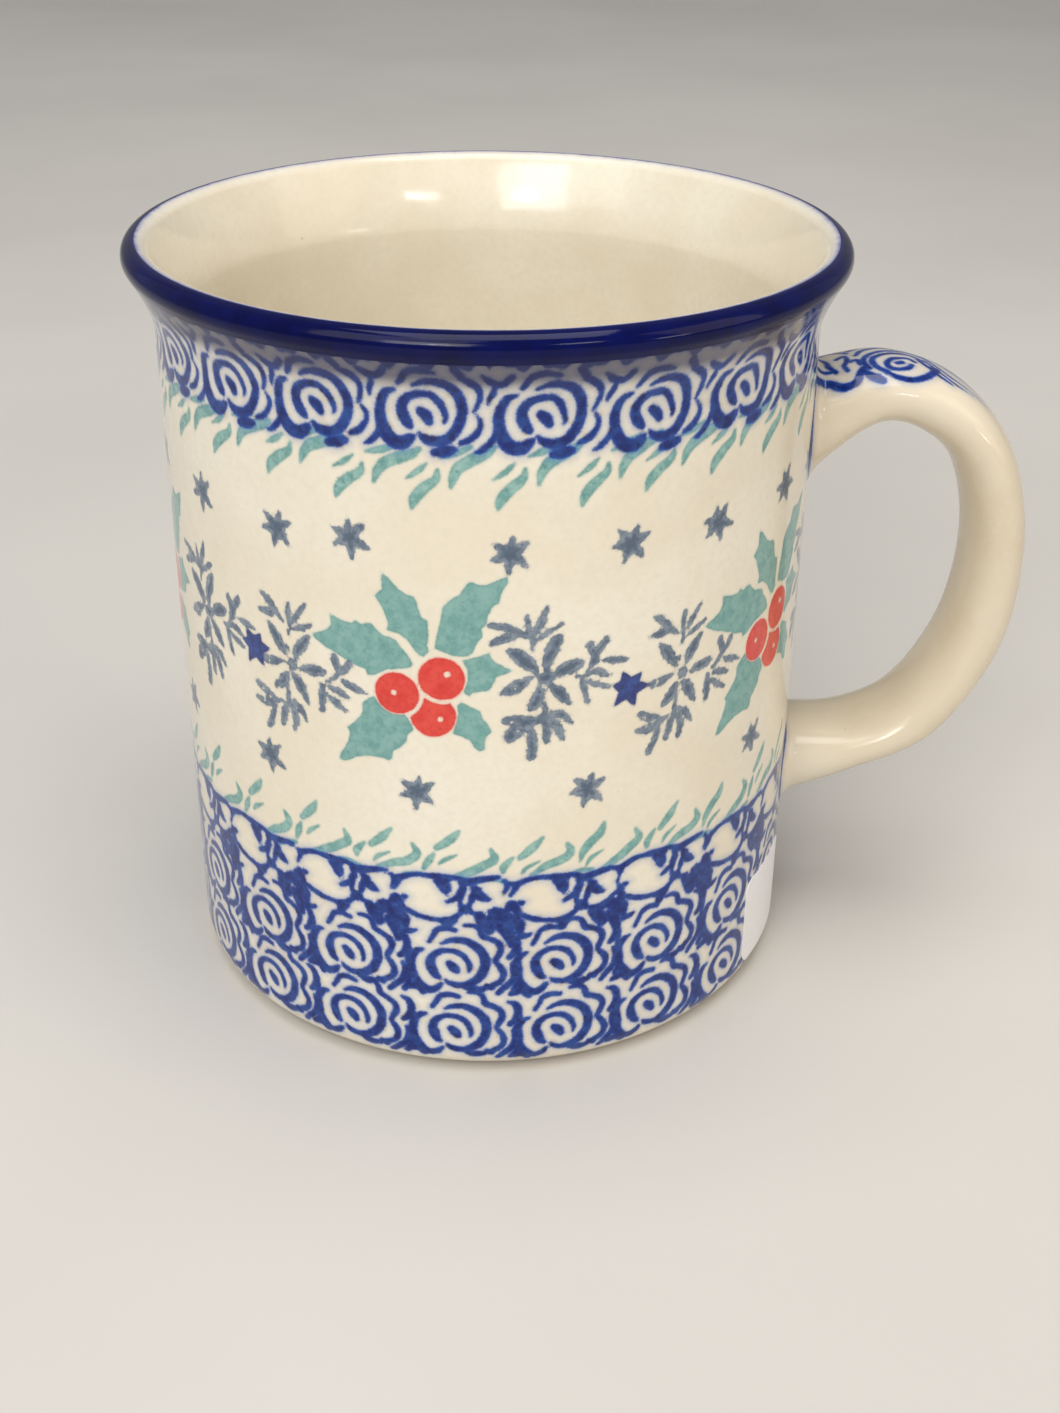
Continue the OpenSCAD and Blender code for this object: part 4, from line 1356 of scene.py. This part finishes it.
def stage_material():
    n = Nodes("studio_floor")
    cloud = n.noise(160, 3, 0.5)
    col = n.mix(n.range(cloud, 0.3, 0.7), lin(214, 211, 206), lin(206, 203, 198))
    n.put(n.bsdf.inputs["Base Color"], col)
    n.put(n.bsdf.inputs["Roughness"], n.range(cloud, 0.3, 0.7, 0.55, 0.65, "LINEAR"))
    n.put(n.bsdf.inputs["Normal"], n.bump(n.noise(1.2, 2, 0.5), 0.01))
    return n.mat


def sweep():
    """A pale floor that curves up behind the object."""
    prof = [(-1.6, 0.0)] + [(y, 0.0) for y in (-0.8, 0.0, 0.8, 1.4)]
    prof += [(1.4 + 1.2 * math.sin(rad(a)), 1.2 * (1 - math.cos(rad(a)))) for a in range(8, 91, 8)]
    prof.append((2.6, 2.6))
    xs = np.linspace(-2.6, 2.6, 9)
    verts = [(x / MM, y / MM, z / MM) for y, z in prof for x in xs]
    me = bpy.data.meshes.new("studio_sweep")
    v = [(a * MM, b * MM, c * MM - 0.00002) for a, b, c in verts]
    f = [(i * 9 + j, i * 9 + j + 1, (i + 1) * 9 + j + 1, (i + 1) * 9 + j)
         for i in range(len(prof) - 1) for j in range(8)]
    me.from_pydata(v, [], f)
    for p_ in me.polygons:
        p_.use_smooth = True
    ob = bpy.data.objects.new("studio_sweep", me)
    bpy.context.scene.collection.objects.link(ob)
    me.materials.append(stage_material())


sweep()


def area(name, at, target, size, watts, colour=(1, 1, 1), shape="RECTANGLE"):
    li = bpy.data.lights.new(name, "AREA")
    li.shape = shape
    li.size, li.size_y = size
    li.energy = watts
    li.color = colour
    ob = bpy.data.objects.new(name, li)
    ob.location = Vector(at)
    ob.rotation_mode = "QUATERNION"
    ob.rotation_quaternion = (Vector(target) - Vector(at)).to_track_quat("-Z", "Y")
    bpy.context.scene.collection.objects.link(ob)
    return ob


MIDDLE = (0.0, 0.0, 0.05)
area("key_softbox", (-0.55, -0.75, 0.95), MIDDLE, (0.9, 0.9), 5.0, (1.0, 0.97, 0.92))
area("top_softbox", (0.02, -0.10, 1.10), MIDDLE, (0.75, 0.75), 6.2, (1.0, 0.98, 0.94))
area("right_window", (0.95, -0.30, 0.55), MIDDLE, (0.6, 0.8), 1.8, (1.0, 0.82, 0.60))
area("side_window", (1.02, -0.74, 0.24), MIDDLE, (0.22, 0.10), 0.55, (1.0, 0.95, 0.88))
area("front_window", (-0.40, -1.16, 0.80), MIDDLE, (0.60, 0.42), 4.9, (1.0, 0.98, 0.95))
# two small bright lamps, for the crisp glints along the lip and the handle
area("glint_left", (-0.30, -1.10, 0.70), MIDDLE, (0.16, 0.05), 0.75, (1.0, 0.99, 0.97))
area("glint_right", (0.52, -1.02, 0.68), MIDDLE, (0.26, 0.04), 0.85, (1.0, 0.99, 0.97))

world = bpy.data.worlds.new("studio_air")
world.use_nodes = True
bg = world.node_tree.nodes["Background"]
bg.inputs[0].default_value = (0.96, 0.97, 1.0, 1)
bg.inputs[1].default_value = 0.32
bpy.context.scene.world = world

cam = bpy.data.cameras.new("camera")
cam.sensor_fit = "AUTO"
cam.sensor_width = 36.0
cam.lens = 46.18
cam.clip_start, cam.clip_end = 0.01, 20
cam_ob = bpy.data.objects.new("camera", cam)
bpy.context.scene.collection.objects.link(cam_ob)
PAN, TILT, ROLL = rad(1.896), rad(28.871), rad(0.596)
fwd = Vector((math.sin(PAN) * math.cos(TILT), math.cos(PAN) * math.cos(TILT), -math.sin(TILT)))
right = Vector((math.cos(PAN), -math.sin(PAN), 0))
up = right.cross(fwd)
r2 = right * math.cos(ROLL) + up * math.sin(ROLL)
u2 = -right * math.sin(ROLL) + up * math.cos(ROLL)
m4 = Matrix((r2, u2, -fwd)).transposed().to_4x4()
m4.translation = Vector((-1.72, -224.48, 155.35)) * MM
cam_ob.matrix_world = m4
bpy.context.scene.camera = cam_ob
bpy.context.scene.view_settings.view_transform = "Standard"

bpy.context.view_layer.update()
